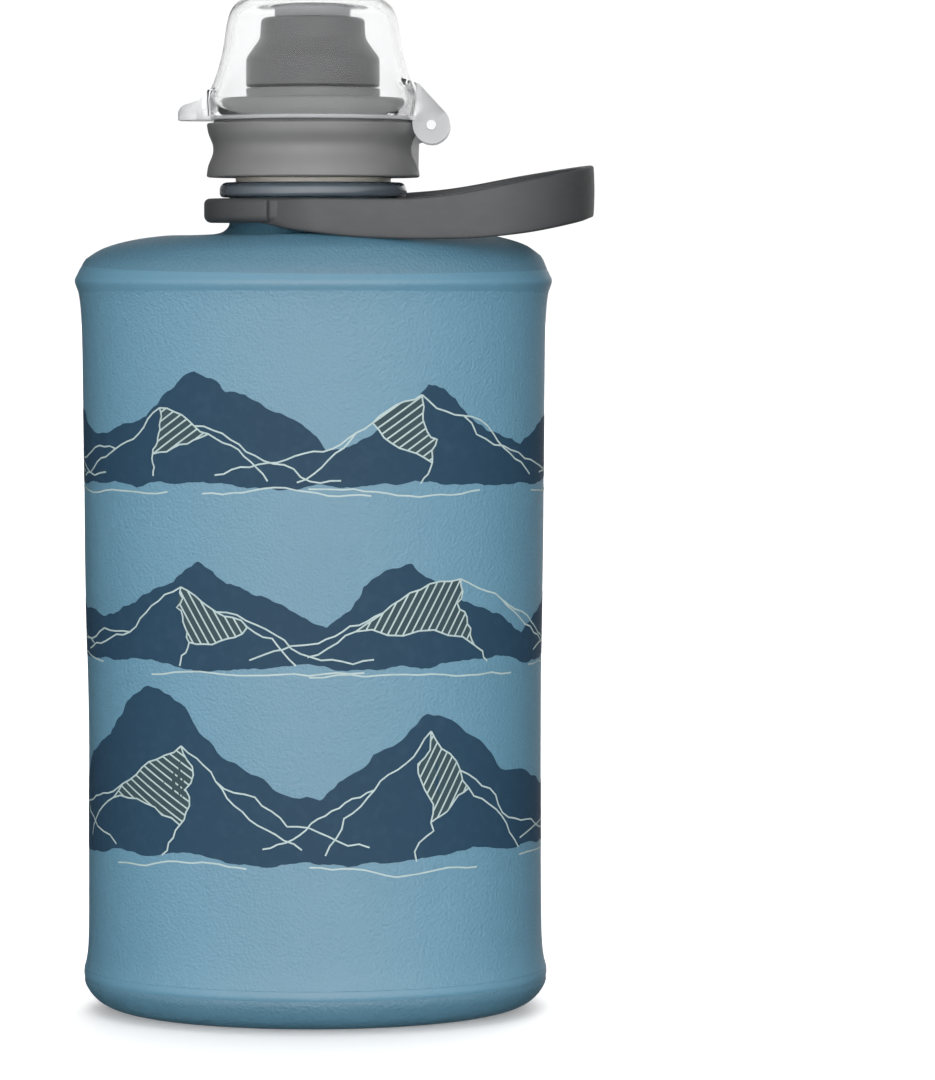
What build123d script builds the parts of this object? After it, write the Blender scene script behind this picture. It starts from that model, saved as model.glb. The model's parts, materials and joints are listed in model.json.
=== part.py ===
from build123d import *
import os

# Folding water bottle: a soft welded film body standing on its own base, a rigid
# threaded neck with a swivelling strap, and a screw cap with a twist-open spout
# under a hinged clear dust cover.
# Frame: origin at the centre of the flat base, +Z up, +X towards the cover's
# hinge and the end of the strap loop, -Y towards the printed front. Millimetres.

# ---------------------------------------------------------------- film body
WALL_T = 0.8                # film thickness, stiff enough to stand when full
SEAM_BASE_Z = 7.6           # underside of the base weld
SEAM_TOP_Z = 141.9          # underside of the top weld
SEAM_H = 0.8                # height of either weld bead
SEAM_PROUD = 0.45           # how far a bead stands out of the film
# Half widths (X) and half depths (Y) of the oval body at each height
BASE_OVALS = [
    (0.0, 34.0, 20.0),
    (0.25, 36.8, 22.4),
    (0.9, 39.4, 24.5),
    (1.9, 41.3, 25.9),
    (3.2, 42.7, 26.9),
    (5.0, 43.9, 27.7),
    (7.6, 45.2, 28.5),
]
WALL_OVALS = [
    (8.4, 45.3, 28.6),
    (9.8, 44.95, 28.35),
    (11.6, 44.65, 28.12),
    (14.5, 44.4, 27.95),
    (128.0, 44.85, 28.1),
    (132.5, 44.95, 28.18),
    (136.0, 45.15, 28.35),
    (139.0, 45.5, 28.62),
    (141.9, 46.0, 29.0),
]
CREASE_Z = 146.2            # where the shoulder breaks from bevel to crown
BEVEL_OVALS = [
    (142.7, 46.1, 28.9),
    (146.2, 44.4, 27.5),
]
CROWN_OVALS = [
    (146.2, 44.4, 27.5),
    (148.5, 40.0, 25.4),
    (150.0, 34.0, 22.9),
    (150.9, 27.0, 20.8),
]

# ---------------------------------------------------------------- neck port
NECK_AXIS_BORE = 11.6       # drinking bore radius
PORT_R = 15.2               # port where the film sleeve grips it
SLEEVE_R = 16.2             # film sleeve outside radius
SLEEVE_CLEAR = 0.05
FLANGE_R = 18.1
FLANGE_Z = 158.4
FLANGE_TOP_Z = 160.8
COLLAR_R = 15.0
NECK_R = 13.4               # thread root of the neck
NECK_TOP_Z = 174.7
THREAD_PITCH = 4.0
THREAD_TURNS = 1.25
NECK_THREAD_Z = 166.4       # centre of the neck thread where it starts
NECK_THREAD_CREST = 14.85
THREAD_BASE_W = 2.0
THREAD_TIP_W = 0.9

# ---------------------------------------------------------------- strap
RING_IN_R = 16.5
RING_OUT_R = 21.1
RING_Z = 153.7
RING_TOP_Z = 158.2
STRAP_PIVOT_X = -7.6
STRAP_PIVOT_Z = 156.0
STRAP_PEG_R = 1.6
STRAP_PEG_CLEAR = 0.06
STRAP_IN = 21.3             # inner half width of the loop
STRAP_T = 2.2
STRAP_END_X = 54.2
EAR_R = 2.7

# ---------------------------------------------------------------- cap
CAP_BOTTOM_Z = 162.2
CAP_STEP_Z = 172.7          # where the dust cover's rim sits over the skirt
CAP_TOP_Z = 177.5
CAP_ROOF_Z = 175.4          # underside of the roof
CAP_R = 20.6
CAP_WAIST_R = 19.5
CAP_WAIST_Z = 167.8
CAP_BORE_R = 15.5
CAP_TUBE_R = 17.0
CAP_GAP_R = 18.2
CAP_THREAD_CREST = 13.75
CAP_THREAD_Z = 164.0
CAP_THREAD_TURN = -72.0     # where round the cap its thread starts
CAP_COLLAR_R = 12.9
CAP_COLLAR_Z = 179.2
CAP_HOLE_R = 8.7
GASKET_IN_R = 10.5
GASKET_OUT_R = 15.3
GASKET_Z = 174.8

# ---------------------------------------------------------------- spout
CORE_OUT_R = 8.6
CORE_IN_R = 6.8
CORE_TOP_Z = 186.4
CORE_FLANGE_R = 10.0
CORE_FLANGE_T = 0.6
POST_R = 2.65
POST_TOP_Z = 188.4
MOUTH_BASE_Z = 179.6
MOUTH_BASE_R = 12.9
MOUTH_WAIST_R = 10.4
MOUTH_WAIST_Z = 188.0
MOUTH_TOP_R = 10.0
MOUTH_TOP_Z = 193.0
MOUTH_BORE_R = 8.8
MOUTH_SEPTUM_Z = 187.0
MOUTH_RECESS_Z = 188.5
MOUTH_RECESS_R = 7.8
MOUTH_HOLE_R = 2.75
SEAL_Z = 183.2
SEAL_R = 0.52

# ---------------------------------------------------------------- dust cover
COVER_RIM_Z = 173.2
COVER_R = 20.6
COVER_T = 1.2
COVER_OUTSIDE = [
    (20.6, 177.5),
    (19.9, 179.0),
    (18.8, 181.5),
    (17.9, 184.4),
    (17.2, 187.5),
    (16.5, 192.0),
    (15.4, 194.9),
    (12.5, 196.7),
]
COVER_INSIDE = [
    (19.4, 177.2),
    (18.7, 178.6),
    (17.6, 181.1),
    (16.7, 184.2),
    (16.0, 187.3),
    (15.3, 191.6),
    (14.3, 194.0),
    (11.9, 195.4),
]
COVER_PLUG_R = 7.35
COVER_PLUG_IN_R = 6.2
COVER_PLUG_Z = 193.2
COVER_CEILING_Z = 195.4
COVER_TOP_Z = 196.7
TAB_TIP_X = -25.9
TAB_HALF_W = 6.5
HINGE_X = 22.9
HINGE_Z = 172.2
KNUCKLE_R = 3.6
KNUCKLE_IN_Y = 3.8
KNUCKLE_OUT_Y = 8.0
CAP_KNUCKLE_R = 3.3
CAP_KNUCKLE_Y = 3.6
PIN_R = 0.95
PIN_BORE_R = 1.0
PIN_HALF_L = 8.2

os.makedirs("parts", exist_ok=True)


# ================================================================ film body
# Base panel: a shallow dished foot, flat where the bottle stands.
with BuildPart() as base_panel:
    for z, a, b in BASE_OVALS:
        with BuildSketch(Plane.XY.offset(z)):
            Ellipse(a, b)
    loft(ruled=True)
    for z, a, b in BASE_OVALS[:-1]:
        with BuildSketch(Plane.XY.offset(z + WALL_T)):
            Ellipse(a - 0.35, b - 0.35)
    with BuildSketch(Plane.XY.offset(SEAM_BASE_Z + 0.4)):
        Ellipse(45.2 - WALL_T, 28.5 - WALL_T)
    loft(ruled=True, mode=Mode.SUBTRACT)

# Weld bead between the base panel and the wall.
with BuildPart() as base_seam:
    with BuildSketch(Plane.XY.offset(SEAM_BASE_Z)):
        Ellipse(45.2 + SEAM_PROUD, 28.5 + SEAM_PROUD)
        Ellipse(45.2 - WALL_T, 28.5 - WALL_T, mode=Mode.SUBTRACT)
    extrude(amount=SEAM_H)
    fillet(base_seam.edges().group_by(SortBy.LENGTH)[-1], 0.25)

# Side wall: the printed film sleeve, oval, slightly flared into both welds.
with BuildPart() as side_wall:
    for z, a, b in WALL_OVALS:
        with BuildSketch(Plane.XY.offset(z)):
            Ellipse(a, b)
    loft(ruled=True)
    for z, a, b in WALL_OVALS:
        with BuildSketch(Plane.XY.offset(z)):
            Ellipse(a - WALL_T, b - WALL_T)
    loft(ruled=True, mode=Mode.SUBTRACT)

# Weld bead between the wall and the shoulder.
with BuildPart() as top_seam:
    with BuildSketch(Plane.XY.offset(SEAM_TOP_Z)):
        Ellipse(46.0 + SEAM_PROUD, 29.0 + SEAM_PROUD)
        Ellipse(46.0 - WALL_T, 29.0 - WALL_T, mode=Mode.SUBTRACT)
    extrude(amount=SEAM_H)
    fillet(top_seam.edges().group_by(SortBy.LENGTH)[-1], 0.25)

# Shoulder panel: bevel, creased crown and a sleeve up the neck.
with BuildPart() as shoulder_panel:
    for z, a, b in BEVEL_OVALS:
        with BuildSketch(Plane.XY.offset(z)):
            Ellipse(a, b)
    loft()
    for z, a, b in CROWN_OVALS:
        with BuildSketch(Plane.XY.offset(z)):
            Ellipse(a, b)
    loft()
    with BuildSketch(Plane.XY.offset(142.7)):
        Ellipse(46.1 - WALL_T, 28.9 - WALL_T)
    with BuildSketch(Plane.XY.offset(CREASE_Z - 0.5)):
        Ellipse(44.4 - WALL_T, 27.5 - WALL_T)
    loft(mode=Mode.SUBTRACT)
    with BuildSketch(Plane.XY.offset(CREASE_Z - 0.5)):
        Ellipse(44.4 - WALL_T, 27.5 - WALL_T)
    for z, a, b in CROWN_OVALS[1:]:
        with BuildSketch(Plane.XY.offset(z - WALL_T)):
            Ellipse(a - 0.3, b - 0.3)
    loft(mode=Mode.SUBTRACT)
    with BuildSketch(Plane.XZ):
        with BuildLine():
            Polyline(
                (PORT_R + SLEEVE_CLEAR, 150.1),
                (19.6, 150.1),
                (19.6, 150.9),
                (17.6, 151.5),
                (SLEEVE_R, 153.2),
                (SLEEVE_R, FLANGE_Z),
                (PORT_R + SLEEVE_CLEAR, FLANGE_Z),
                close=True,
            )
        make_face()
    revolve(axis=Axis.Z)
    with BuildSketch(Plane.XY.offset(149.0)):
        Circle(PORT_R + SLEEVE_CLEAR)
    extrude(amount=3.0, mode=Mode.SUBTRACT)

# ================================================================ neck port
# Rigid moulding welded into the shoulder: weld foot, flange, threaded neck.
with BuildPart() as neck_port:
    with BuildSketch(Plane.XZ):
        with BuildLine():
            Polyline(
                (NECK_AXIS_BORE, 149.1),
                (18.8, 149.1),
                (18.8, 150.1),
                (PORT_R, 150.1),
                (PORT_R, FLANGE_Z),
                (FLANGE_R - 0.4, FLANGE_Z),
                (FLANGE_R, FLANGE_Z + 0.4),
                (FLANGE_R, FLANGE_TOP_Z - 0.7),
                (FLANGE_R - 0.7, FLANGE_TOP_Z),
                (COLLAR_R, FLANGE_TOP_Z),
                (COLLAR_R, 162.3),
                (NECK_R, 162.9),
                (NECK_R, NECK_TOP_Z - 0.6),
                (NECK_R - 0.5, NECK_TOP_Z),
                (NECK_AXIS_BORE + 0.4, NECK_TOP_Z),
                (NECK_AXIS_BORE, NECK_TOP_Z - 0.4),
                close=True,
            )
        make_face()
    revolve(axis=Axis.Z)
    with BuildLine(Plane.XY.offset(NECK_THREAD_Z)) as neck_helix:
        Helix(THREAD_PITCH, THREAD_PITCH * THREAD_TURNS, NECK_R)
    with BuildSketch(Plane(neck_helix.line @ 0, x_dir=(1, 0, 0), z_dir=(0, 1, 0))):
        with BuildLine():
            Polyline(
                (-0.25, -THREAD_BASE_W / 2),
                (-0.25, THREAD_BASE_W / 2),
                (NECK_THREAD_CREST - NECK_R, THREAD_TIP_W / 2),
                (NECK_THREAD_CREST - NECK_R, -THREAD_TIP_W / 2),
                close=True,
            )
        make_face()
    sweep(path=neck_helix.line, is_frenet=True)

# ================================================================ strap
# Ring of the strap, free to turn on the film sleeve under the flange.
with BuildPart() as strap_ring:
    with BuildSketch(Plane.XZ):
        with Locations(((RING_IN_R + RING_OUT_R) / 2, (RING_Z + RING_TOP_Z) / 2)):
            RectangleRounded(RING_OUT_R - RING_IN_R, RING_TOP_Z - RING_Z, 0.8)
    revolve(axis=Axis.Z)
    with BuildSketch(Plane.XZ):
        with Locations((STRAP_PIVOT_X, STRAP_PIVOT_Z)):
            Circle(STRAP_PEG_R)
    extrude(amount=STRAP_IN + STRAP_T - 0.2, both=True)
    with BuildSketch(Plane.XY.offset(RING_Z - 1)):
        Circle(RING_IN_R)
    extrude(amount=RING_TOP_Z - RING_Z + 2, mode=Mode.SUBTRACT)

# Loop of the strap: a flat band that rises and widens towards its round end.
with BuildPart() as strap_loop:
    with BuildSketch(Plane.XY.offset(148)):
        with BuildLine():
            l1 = Line((-12, STRAP_IN + STRAP_T), (30.7, STRAP_IN + STRAP_T))
            a1 = ThreePointArc(l1 @ 1, (STRAP_END_X, 0), (30.7, -STRAP_IN - STRAP_T))
            l2 = Line(a1 @ 1, (-12, -STRAP_IN - STRAP_T))
            l3 = Line(l2 @ 1, (-12, -STRAP_IN))
            l4 = Line(l3 @ 1, (30.7, -STRAP_IN))
            a2 = ThreePointArc(l4 @ 1, (STRAP_END_X - STRAP_T, 0), (30.7, STRAP_IN))
            l5 = Line(a2 @ 1, (-12, STRAP_IN))
            l6 = Line(l5 @ 1, l1 @ 0)
        make_face()
    extrude(amount=20)
    with BuildSketch(Plane.XZ):
        with BuildLine():
            top = Spline(
                (STRAP_PIVOT_X, STRAP_PIVOT_Z + EAR_R),
                (7, 158.3),
                (25, 159.4),
                (41.5, 162.3),
                (STRAP_END_X + 1, 164.7),
            )
            end = Line(top @ 1, (STRAP_END_X + 1, 155.4))
            under = Spline(
                end @ 1,
                (50, 154.0),
                (41.5, 152.3),
                (33, 151.6),
                (25, 151.35),
                (7, 151.7),
                (STRAP_PIVOT_X, STRAP_PIVOT_Z - EAR_R),
            )
            ear = ThreePointArc(
                under @ 1,
                (STRAP_PIVOT_X - EAR_R, STRAP_PIVOT_Z),
                top @ 0,
            )
        make_face()
    extrude(amount=30, both=True, mode=Mode.INTERSECT)
    with BuildSketch(Plane.XZ):
        with Locations((STRAP_PIVOT_X, STRAP_PIVOT_Z)):
            Circle(STRAP_PEG_R + STRAP_PEG_CLEAR)
    extrude(amount=30, both=True, mode=Mode.SUBTRACT)

# ================================================================ cap
# Sealing gasket under the cap's roof.
with BuildPart() as cap_gasket:
    with BuildSketch(Plane.XY.offset(GASKET_Z)):
        Circle(GASKET_OUT_R)
        Circle(GASKET_IN_R, mode=Mode.SUBTRACT)
    extrude(amount=CAP_ROOF_Z - GASKET_Z)

# Screw cap: waisted grip skirt, threaded inner tube, roof, collar and the
# bracket that carries the cover's hinge.
with BuildPart() as cap_shell:
    with BuildSketch(Plane.XZ):
        with BuildLine():
            c1 = Line((CAP_R - 0.5, CAP_BOTTOM_Z), (CAP_R, CAP_BOTTOM_Z + 0.6))
            c2 = ThreePointArc(
                c1 @ 1,
                (CAP_WAIST_R, CAP_WAIST_Z),
                (CAP_R - 0.1, CAP_STEP_Z - 0.4),
            )
            c3 = Polyline(
                c2 @ 1,
                (CAP_R - 0.4, CAP_STEP_Z),
                (19.3, CAP_STEP_Z),
                (19.0, CAP_STEP_Z + 0.5),
                (18.2, CAP_TOP_Z - 0.6),
                (17.6, CAP_TOP_Z),
                (13.7, CAP_TOP_Z),
                (CAP_COLLAR_R, CAP_TOP_Z + 0.6),
                (CAP_COLLAR_R, CAP_COLLAR_Z - 0.2),
                (CAP_COLLAR_R - 0.2, CAP_COLLAR_Z),
                (CAP_HOLE_R, CAP_COLLAR_Z),
                (CAP_HOLE_R, CAP_ROOF_Z),
                (CAP_BORE_R, CAP_ROOF_Z),
                (CAP_BORE_R, CAP_BOTTOM_Z + 0.4),
                (CAP_BORE_R + 0.4, CAP_BOTTOM_Z),
                (CAP_TUBE_R, CAP_BOTTOM_Z),
                (CAP_TUBE_R, 173.0),
                (CAP_GAP_R - 0.3, 173.0),
                (CAP_GAP_R, CAP_BOTTOM_Z),
                c1 @ 0,
            )
        make_face()
    revolve(axis=Axis.Z)
    with BuildSketch(Plane.XZ):
        with BuildLine():
            Polyline(
                (18.6, 163.4),
                (20.35, 163.4),
                (20.45, 169.6),
                (HINGE_X, 168.95),
                (HINGE_X, HINGE_Z),
                (18.8, 172.5),
                close=True,
            )
        make_face()
        with Locations((HINGE_X, HINGE_Z)):
            Circle(CAP_KNUCKLE_R)
    extrude(amount=CAP_KNUCKLE_Y, both=True)
    for side in (-1, 1):
        with BuildSketch(Plane.XZ.offset(side * (CAP_KNUCKLE_Y + KNUCKLE_OUT_Y + 0.25) / 2)):
            with Locations((HINGE_X, HINGE_Z)):
                Circle(KNUCKLE_R + 0.25)
        extrude(
            amount=(KNUCKLE_OUT_Y + 0.25 - CAP_KNUCKLE_Y) / 2,
            both=True,
            mode=Mode.SUBTRACT,
        )
    with BuildSketch(Plane.XZ):
        with Locations((HINGE_X, HINGE_Z)):
            Circle(PIN_BORE_R)
    extrude(amount=12, both=True, mode=Mode.SUBTRACT)
    with BuildLine(
        Plane.XY.offset(CAP_THREAD_Z).rotated((0, 0, CAP_THREAD_TURN))
    ) as cap_helix:
        Helix(THREAD_PITCH, THREAD_PITCH * THREAD_TURNS, CAP_BORE_R)
    start = cap_helix.line @ 0
    with BuildSketch(
        Plane(start, x_dir=(start.X, start.Y, 0), z_dir=(-start.Y, start.X, 0))
    ):
        with BuildLine():
            Polyline(
                (0.3, -THREAD_BASE_W / 2),
                (0.3, THREAD_BASE_W / 2),
                (CAP_THREAD_CREST - CAP_BORE_R, THREAD_TIP_W / 2),
                (CAP_THREAD_CREST - CAP_BORE_R, -THREAD_TIP_W / 2),
                close=True,
            )
        make_face()
    sweep(path=cap_helix.line, is_frenet=True)

# Pin of the cover's hinge, held in the cap's centre knuckle.
with BuildPart() as hinge_pin:
    with BuildSketch(Plane.XZ):
        with Locations((HINGE_X, HINGE_Z)):
            Circle(PIN_R)
    extrude(amount=PIN_HALF_L, both=True)

# Spout core: chimney through the cap's roof with the valve post on three ribs.
with BuildPart() as spout_core:
    with BuildSketch(Plane.XZ):
        with BuildLine():
            Polyline(
                (CORE_IN_R, CAP_ROOF_Z - CORE_FLANGE_T),
                (CORE_FLANGE_R, CAP_ROOF_Z - CORE_FLANGE_T),
                (CORE_FLANGE_R, CAP_ROOF_Z),
                (CORE_OUT_R, CAP_ROOF_Z),
                (CORE_OUT_R, CORE_TOP_Z - 0.4),
                (CORE_OUT_R - 0.4, CORE_TOP_Z),
                (CORE_IN_R, CORE_TOP_Z),
                close=True,
            )
        make_face()
    revolve(axis=Axis.Z)
    with BuildSketch(Plane.XY.offset(177.0)):
        Circle(POST_R)
    extrude(amount=POST_TOP_Z - 177.0)
    with BuildSketch(Plane.XY.offset(177.0)):
        with PolarLocations((CORE_IN_R + POST_R) / 2, 3, start_angle=90):
            Rectangle(CORE_IN_R - POST_R + 1.0, 1.2)
    extrude(amount=7.5)
    fillet(spout_core.faces().sort_by(Axis.Z)[-1].edges(), 0.8)

# ================================================================ spout
# O-ring between the spout and its core; it rises with the spout.
with BuildPart() as spout_seal:
    with BuildSketch(Plane.XZ):
        with Locations((CORE_OUT_R + 0.02 + SEAL_R, SEAL_Z)):
            Circle(SEAL_R)
    revolve(axis=Axis.Z)

# Mouthpiece: bell-shaped spout with an open mouth and a valve seat inside it.
with BuildPart() as mouthpiece:
    with BuildSketch(Plane.XZ):
        with BuildLine():
            m1 = Line((MOUTH_BORE_R, MOUTH_BASE_Z), (MOUTH_BASE_R - 0.3, MOUTH_BASE_Z))
            m2 = Line(m1 @ 1, (MOUTH_BASE_R, MOUTH_BASE_Z + 0.3))
            m3 = Line(m2 @ 1, (12.7, 182.4))
            m4 = Spline(
                m3 @ 1,
                (11.7, 184.7),
                (MOUTH_WAIST_R, MOUTH_WAIST_Z),
                (MOUTH_TOP_R, MOUTH_TOP_Z - 0.95),
                tangents=((-0.25, 1), (0, 1)),
            )
            m5 = ThreePointArc(
                m4 @ 1,
                (MOUTH_TOP_R - 0.2782, MOUTH_TOP_Z - 0.2782),
                (MOUTH_TOP_R - 0.95, MOUTH_TOP_Z),
            )
            m6 = Polyline(
                m5 @ 1,
                (MOUTH_RECESS_R + 0.5, MOUTH_TOP_Z),
                (MOUTH_RECESS_R, MOUTH_TOP_Z - 0.5),
                (MOUTH_RECESS_R, MOUTH_RECESS_Z),
                (MOUTH_HOLE_R, MOUTH_RECESS_Z),
                (MOUTH_HOLE_R, MOUTH_SEPTUM_Z),
                (MOUTH_BORE_R, MOUTH_SEPTUM_Z),
                (MOUTH_BORE_R, SEAL_Z + SEAL_R + 0.03),
                (CORE_OUT_R + 2 * SEAL_R + 0.05, SEAL_Z + SEAL_R + 0.03),
                (CORE_OUT_R + 2 * SEAL_R + 0.05, SEAL_Z - SEAL_R - 0.03),
                (MOUTH_BORE_R, SEAL_Z - SEAL_R - 0.03),
                m1 @ 0,
            )
        make_face()
    revolve(axis=Axis.Z)

# ================================================================ dust cover
# Clear snap cover: domed shell, thumb tab, hinge arms and an inner plug ring.
with BuildPart() as dust_cover:
    with BuildSketch(Plane.XZ):
        with BuildLine():
            d1 = Line((0, COVER_RIM_Z), (COVER_R - 0.3, COVER_RIM_Z))
            d2 = Line(d1 @ 1, (COVER_R, COVER_RIM_Z + 0.3))
            d3 = Line(d2 @ 1, COVER_OUTSIDE[0])
            d4 = Spline(*COVER_OUTSIDE, tangents=((-0.25, 1), (-1, 0.12)))
            d5 = Line(d4 @ 1, (0, COVER_TOP_Z))
            d6 = Line(d5 @ 1, d1 @ 0)
        make_face()
    revolve(axis=Axis.Z)
    with BuildSketch(Plane.XZ):
        with BuildLine():
            Polyline(
                (-19.0, COVER_RIM_Z),
                (TAB_TIP_X, COVER_RIM_Z),
                (TAB_TIP_X, 174.7),
                (-25.2, 175.7),
                (-24.2, 176.2),
                (-22.2, 176.7),
                (-21.0, 177.5),
                (-20.0, 179.0),
                (-19.0, 179.0),
                close=True,
            )
        make_face()
    extrude(amount=TAB_HALF_W, both=True)
    fillet(
        dust_cover.edges().filter_by(Axis.Z).group_by(Axis.X)[0],
        4.0,
    )
    with BuildSketch(Plane.XZ):
        with BuildLine():
            Polyline(
                (17.0, COVER_RIM_Z),
                (20.2, COVER_RIM_Z),
                (HINGE_X, HINGE_Z),
                (HINGE_X + 2.8, HINGE_Z + 2.25),
                (20.6, 180.0),
                (17.0, 181.2),
                close=True,
            )
        make_face()
        with Locations((HINGE_X, HINGE_Z)):
            Circle(KNUCKLE_R)
    extrude(amount=KNUCKLE_OUT_Y, both=True)
    with BuildSketch(Plane.XZ):
        with BuildLine():
            Polyline(
                (COVER_R - 0.1, 160.0),
                (35.0, 160.0),
                (35.0, 185.0),
                (COVER_R - 0.1, 185.0),
                close=True,
            )
        make_face()
        with Locations((HINGE_X, HINGE_Z)):
            Circle(CAP_KNUCKLE_R + 0.3)
    extrude(amount=KNUCKLE_IN_Y, both=True, mode=Mode.SUBTRACT)
    with BuildSketch(Plane.XZ):
        with BuildLine():
            i1 = Line((0, COVER_RIM_Z - 2.0), (COVER_R - COVER_T, COVER_RIM_Z - 2.0))
            i2 = Line(i1 @ 1, COVER_INSIDE[0])
            i3 = Spline(*COVER_INSIDE, tangents=((-0.25, 1), (-1, 0.12)))
            i4 = Line(i3 @ 1, (0, COVER_CEILING_Z))
            i5 = Line(i4 @ 1, i1 @ 0)
        make_face()
    revolve(axis=Axis.Z, mode=Mode.SUBTRACT)
    with BuildSketch(Plane.XY.offset(COVER_PLUG_Z)):
        Circle(COVER_PLUG_R)
        Circle(COVER_PLUG_IN_R, mode=Mode.SUBTRACT)
    extrude(amount=COVER_CEILING_Z - COVER_PLUG_Z + 0.3)
    with BuildSketch(Plane.XZ):
        with Locations((HINGE_X, HINGE_Z)):
            Circle(PIN_BORE_R)
    extrude(amount=12, both=True, mode=Mode.SUBTRACT)

# ================================================================ export
base_panel.part.label = "base_panel"
base_seam.part.label = "base_seam"
side_wall.part.label = "side_wall"
top_seam.part.label = "top_seam"
shoulder_panel.part.label = "shoulder_panel"
neck_port.part.label = "neck_port"
strap_ring.part.label = "strap_ring"
strap_loop.part.label = "strap_loop"
cap_gasket.part.label = "cap_gasket"
cap_shell.part.label = "cap_shell"
hinge_pin.part.label = "hinge_pin"
spout_core.part.label = "spout_core"
spout_seal.part.label = "spout_seal"
mouthpiece.part.label = "mouthpiece"
dust_cover.part.label = "dust_cover"

export_step(base_panel.part, "parts/base_panel.step")
export_step(base_seam.part, "parts/base_seam.step")
export_step(side_wall.part, "parts/side_wall.step")
export_step(top_seam.part, "parts/top_seam.step")
export_step(shoulder_panel.part, "parts/shoulder_panel.step")
export_step(neck_port.part, "parts/neck_port.step")
export_step(strap_ring.part, "parts/strap_ring.step")
export_step(strap_loop.part, "parts/strap_loop.step")
export_step(cap_gasket.part, "parts/cap_gasket.step")
export_step(cap_shell.part, "parts/cap_shell.step")
export_step(hinge_pin.part, "parts/hinge_pin.step")
export_step(spout_core.part, "parts/spout_core.step")
export_step(spout_seal.part, "parts/spout_seal.step")
export_step(mouthpiece.part, "parts/mouthpiece.step")
export_step(dust_cover.part, "parts/dust_cover.step")
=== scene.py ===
import json
import logging
import math
import random
from bisect import bisect_left
from collections.abc import Callable
from dataclasses import dataclass, field
from enum import Enum

import bmesh
import bpy
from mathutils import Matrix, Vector, noise

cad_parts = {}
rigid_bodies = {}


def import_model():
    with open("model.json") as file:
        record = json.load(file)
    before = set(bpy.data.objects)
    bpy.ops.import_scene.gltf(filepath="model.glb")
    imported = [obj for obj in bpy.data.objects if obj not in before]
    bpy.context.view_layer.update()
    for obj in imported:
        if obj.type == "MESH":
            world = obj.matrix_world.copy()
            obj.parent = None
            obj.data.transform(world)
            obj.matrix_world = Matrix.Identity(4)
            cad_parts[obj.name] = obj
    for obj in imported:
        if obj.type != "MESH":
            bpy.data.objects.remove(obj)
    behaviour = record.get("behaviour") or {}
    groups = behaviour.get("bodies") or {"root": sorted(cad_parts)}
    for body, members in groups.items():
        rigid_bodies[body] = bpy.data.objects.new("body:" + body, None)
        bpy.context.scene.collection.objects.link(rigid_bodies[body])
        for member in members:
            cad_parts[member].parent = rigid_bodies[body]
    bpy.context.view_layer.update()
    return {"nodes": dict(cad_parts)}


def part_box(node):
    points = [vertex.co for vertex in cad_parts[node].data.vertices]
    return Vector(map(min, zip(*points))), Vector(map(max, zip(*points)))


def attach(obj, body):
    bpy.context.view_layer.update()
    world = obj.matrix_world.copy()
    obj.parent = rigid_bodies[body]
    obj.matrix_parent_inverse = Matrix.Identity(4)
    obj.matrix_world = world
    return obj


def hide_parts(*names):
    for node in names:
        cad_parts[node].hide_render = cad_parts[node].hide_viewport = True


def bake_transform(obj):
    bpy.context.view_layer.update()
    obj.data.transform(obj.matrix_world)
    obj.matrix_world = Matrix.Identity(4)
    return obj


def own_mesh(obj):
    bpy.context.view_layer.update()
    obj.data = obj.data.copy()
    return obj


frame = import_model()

MM = 0.001  # meshes are made in millimetres, then brought to metres
UP = Vector((0.0, 0.0, 1.0))
SMOOTH_LIMIT = math.radians(38.0)  # edges sharper than this stay crisp
WELD_DIST = 0.0005  # millimetres between doubles
ARC_STEPS = 5  # segments in a rounded corner of a lathe outline
THREAD_PITCH = 4.0  # rise of the neck's and the cap's threads in one turn
THREAD_TURNS = 1.25  # how many turns each runs
THREAD_BASE, THREAD_TIP = 1.0, 0.45  # half widths of a thread at its foot and at its crest
SINK = 0.2  # how far a thread's foot is sunk into its wall
BLACK = (0.0, 0.0, 0.0, 1.0)
WHITE = (1.0, 1.0, 1.0, 1.0)
RANGE_INPUTS = ("From Min", "From Max", "To Min", "To Max")
MIX_COLOURS, MIX_COLOUR_OUT = (6, 7), 2  # a Mix node's colour sockets
MIX_LEVELS, MIX_LEVEL_OUT = (2, 3), 0  # and its number sockets

log = logging.getLogger("folding_bottle")

Colour = tuple[float, float, float]
Spot = tuple[float, float, float]
Flat = tuple[float, float]


# ---------------------------------------------------------------- frame sizes
@dataclass(frozen=True)
class NodeBox:
    """Lowest and highest corners of a node of the frame, in millimetres."""

    low: Vector
    high: Vector

    @classmethod
    def of(cls, node: str) -> "NodeBox":
        """Reads one node's box.

        Args:
            node: name of the node.

        Returns:
            The box, in millimetres.
        """
        low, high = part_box(node)
        return cls(Vector(low) / MM, Vector(high) / MM)

    @property
    def radius(self) -> float:
        """Half the box's width across the front."""
        return (self.high.x - self.low.x) / 2


# ---------------------------------------------------------------- finishes
class Slot(Enum):
    """Material slots of the new pieces. The frame's own small parts keep theirs."""

    FILM = "film"
    PRINTED_FILM = "printed_film"
    FILM_WELD = "film_weld"
    PORT = "port"
    STRAP = "strap"
    CAP = "cap"
    MOUTHPIECE = "mouthpiece"
    CLEAR_COVER = "clear_cover"


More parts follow.
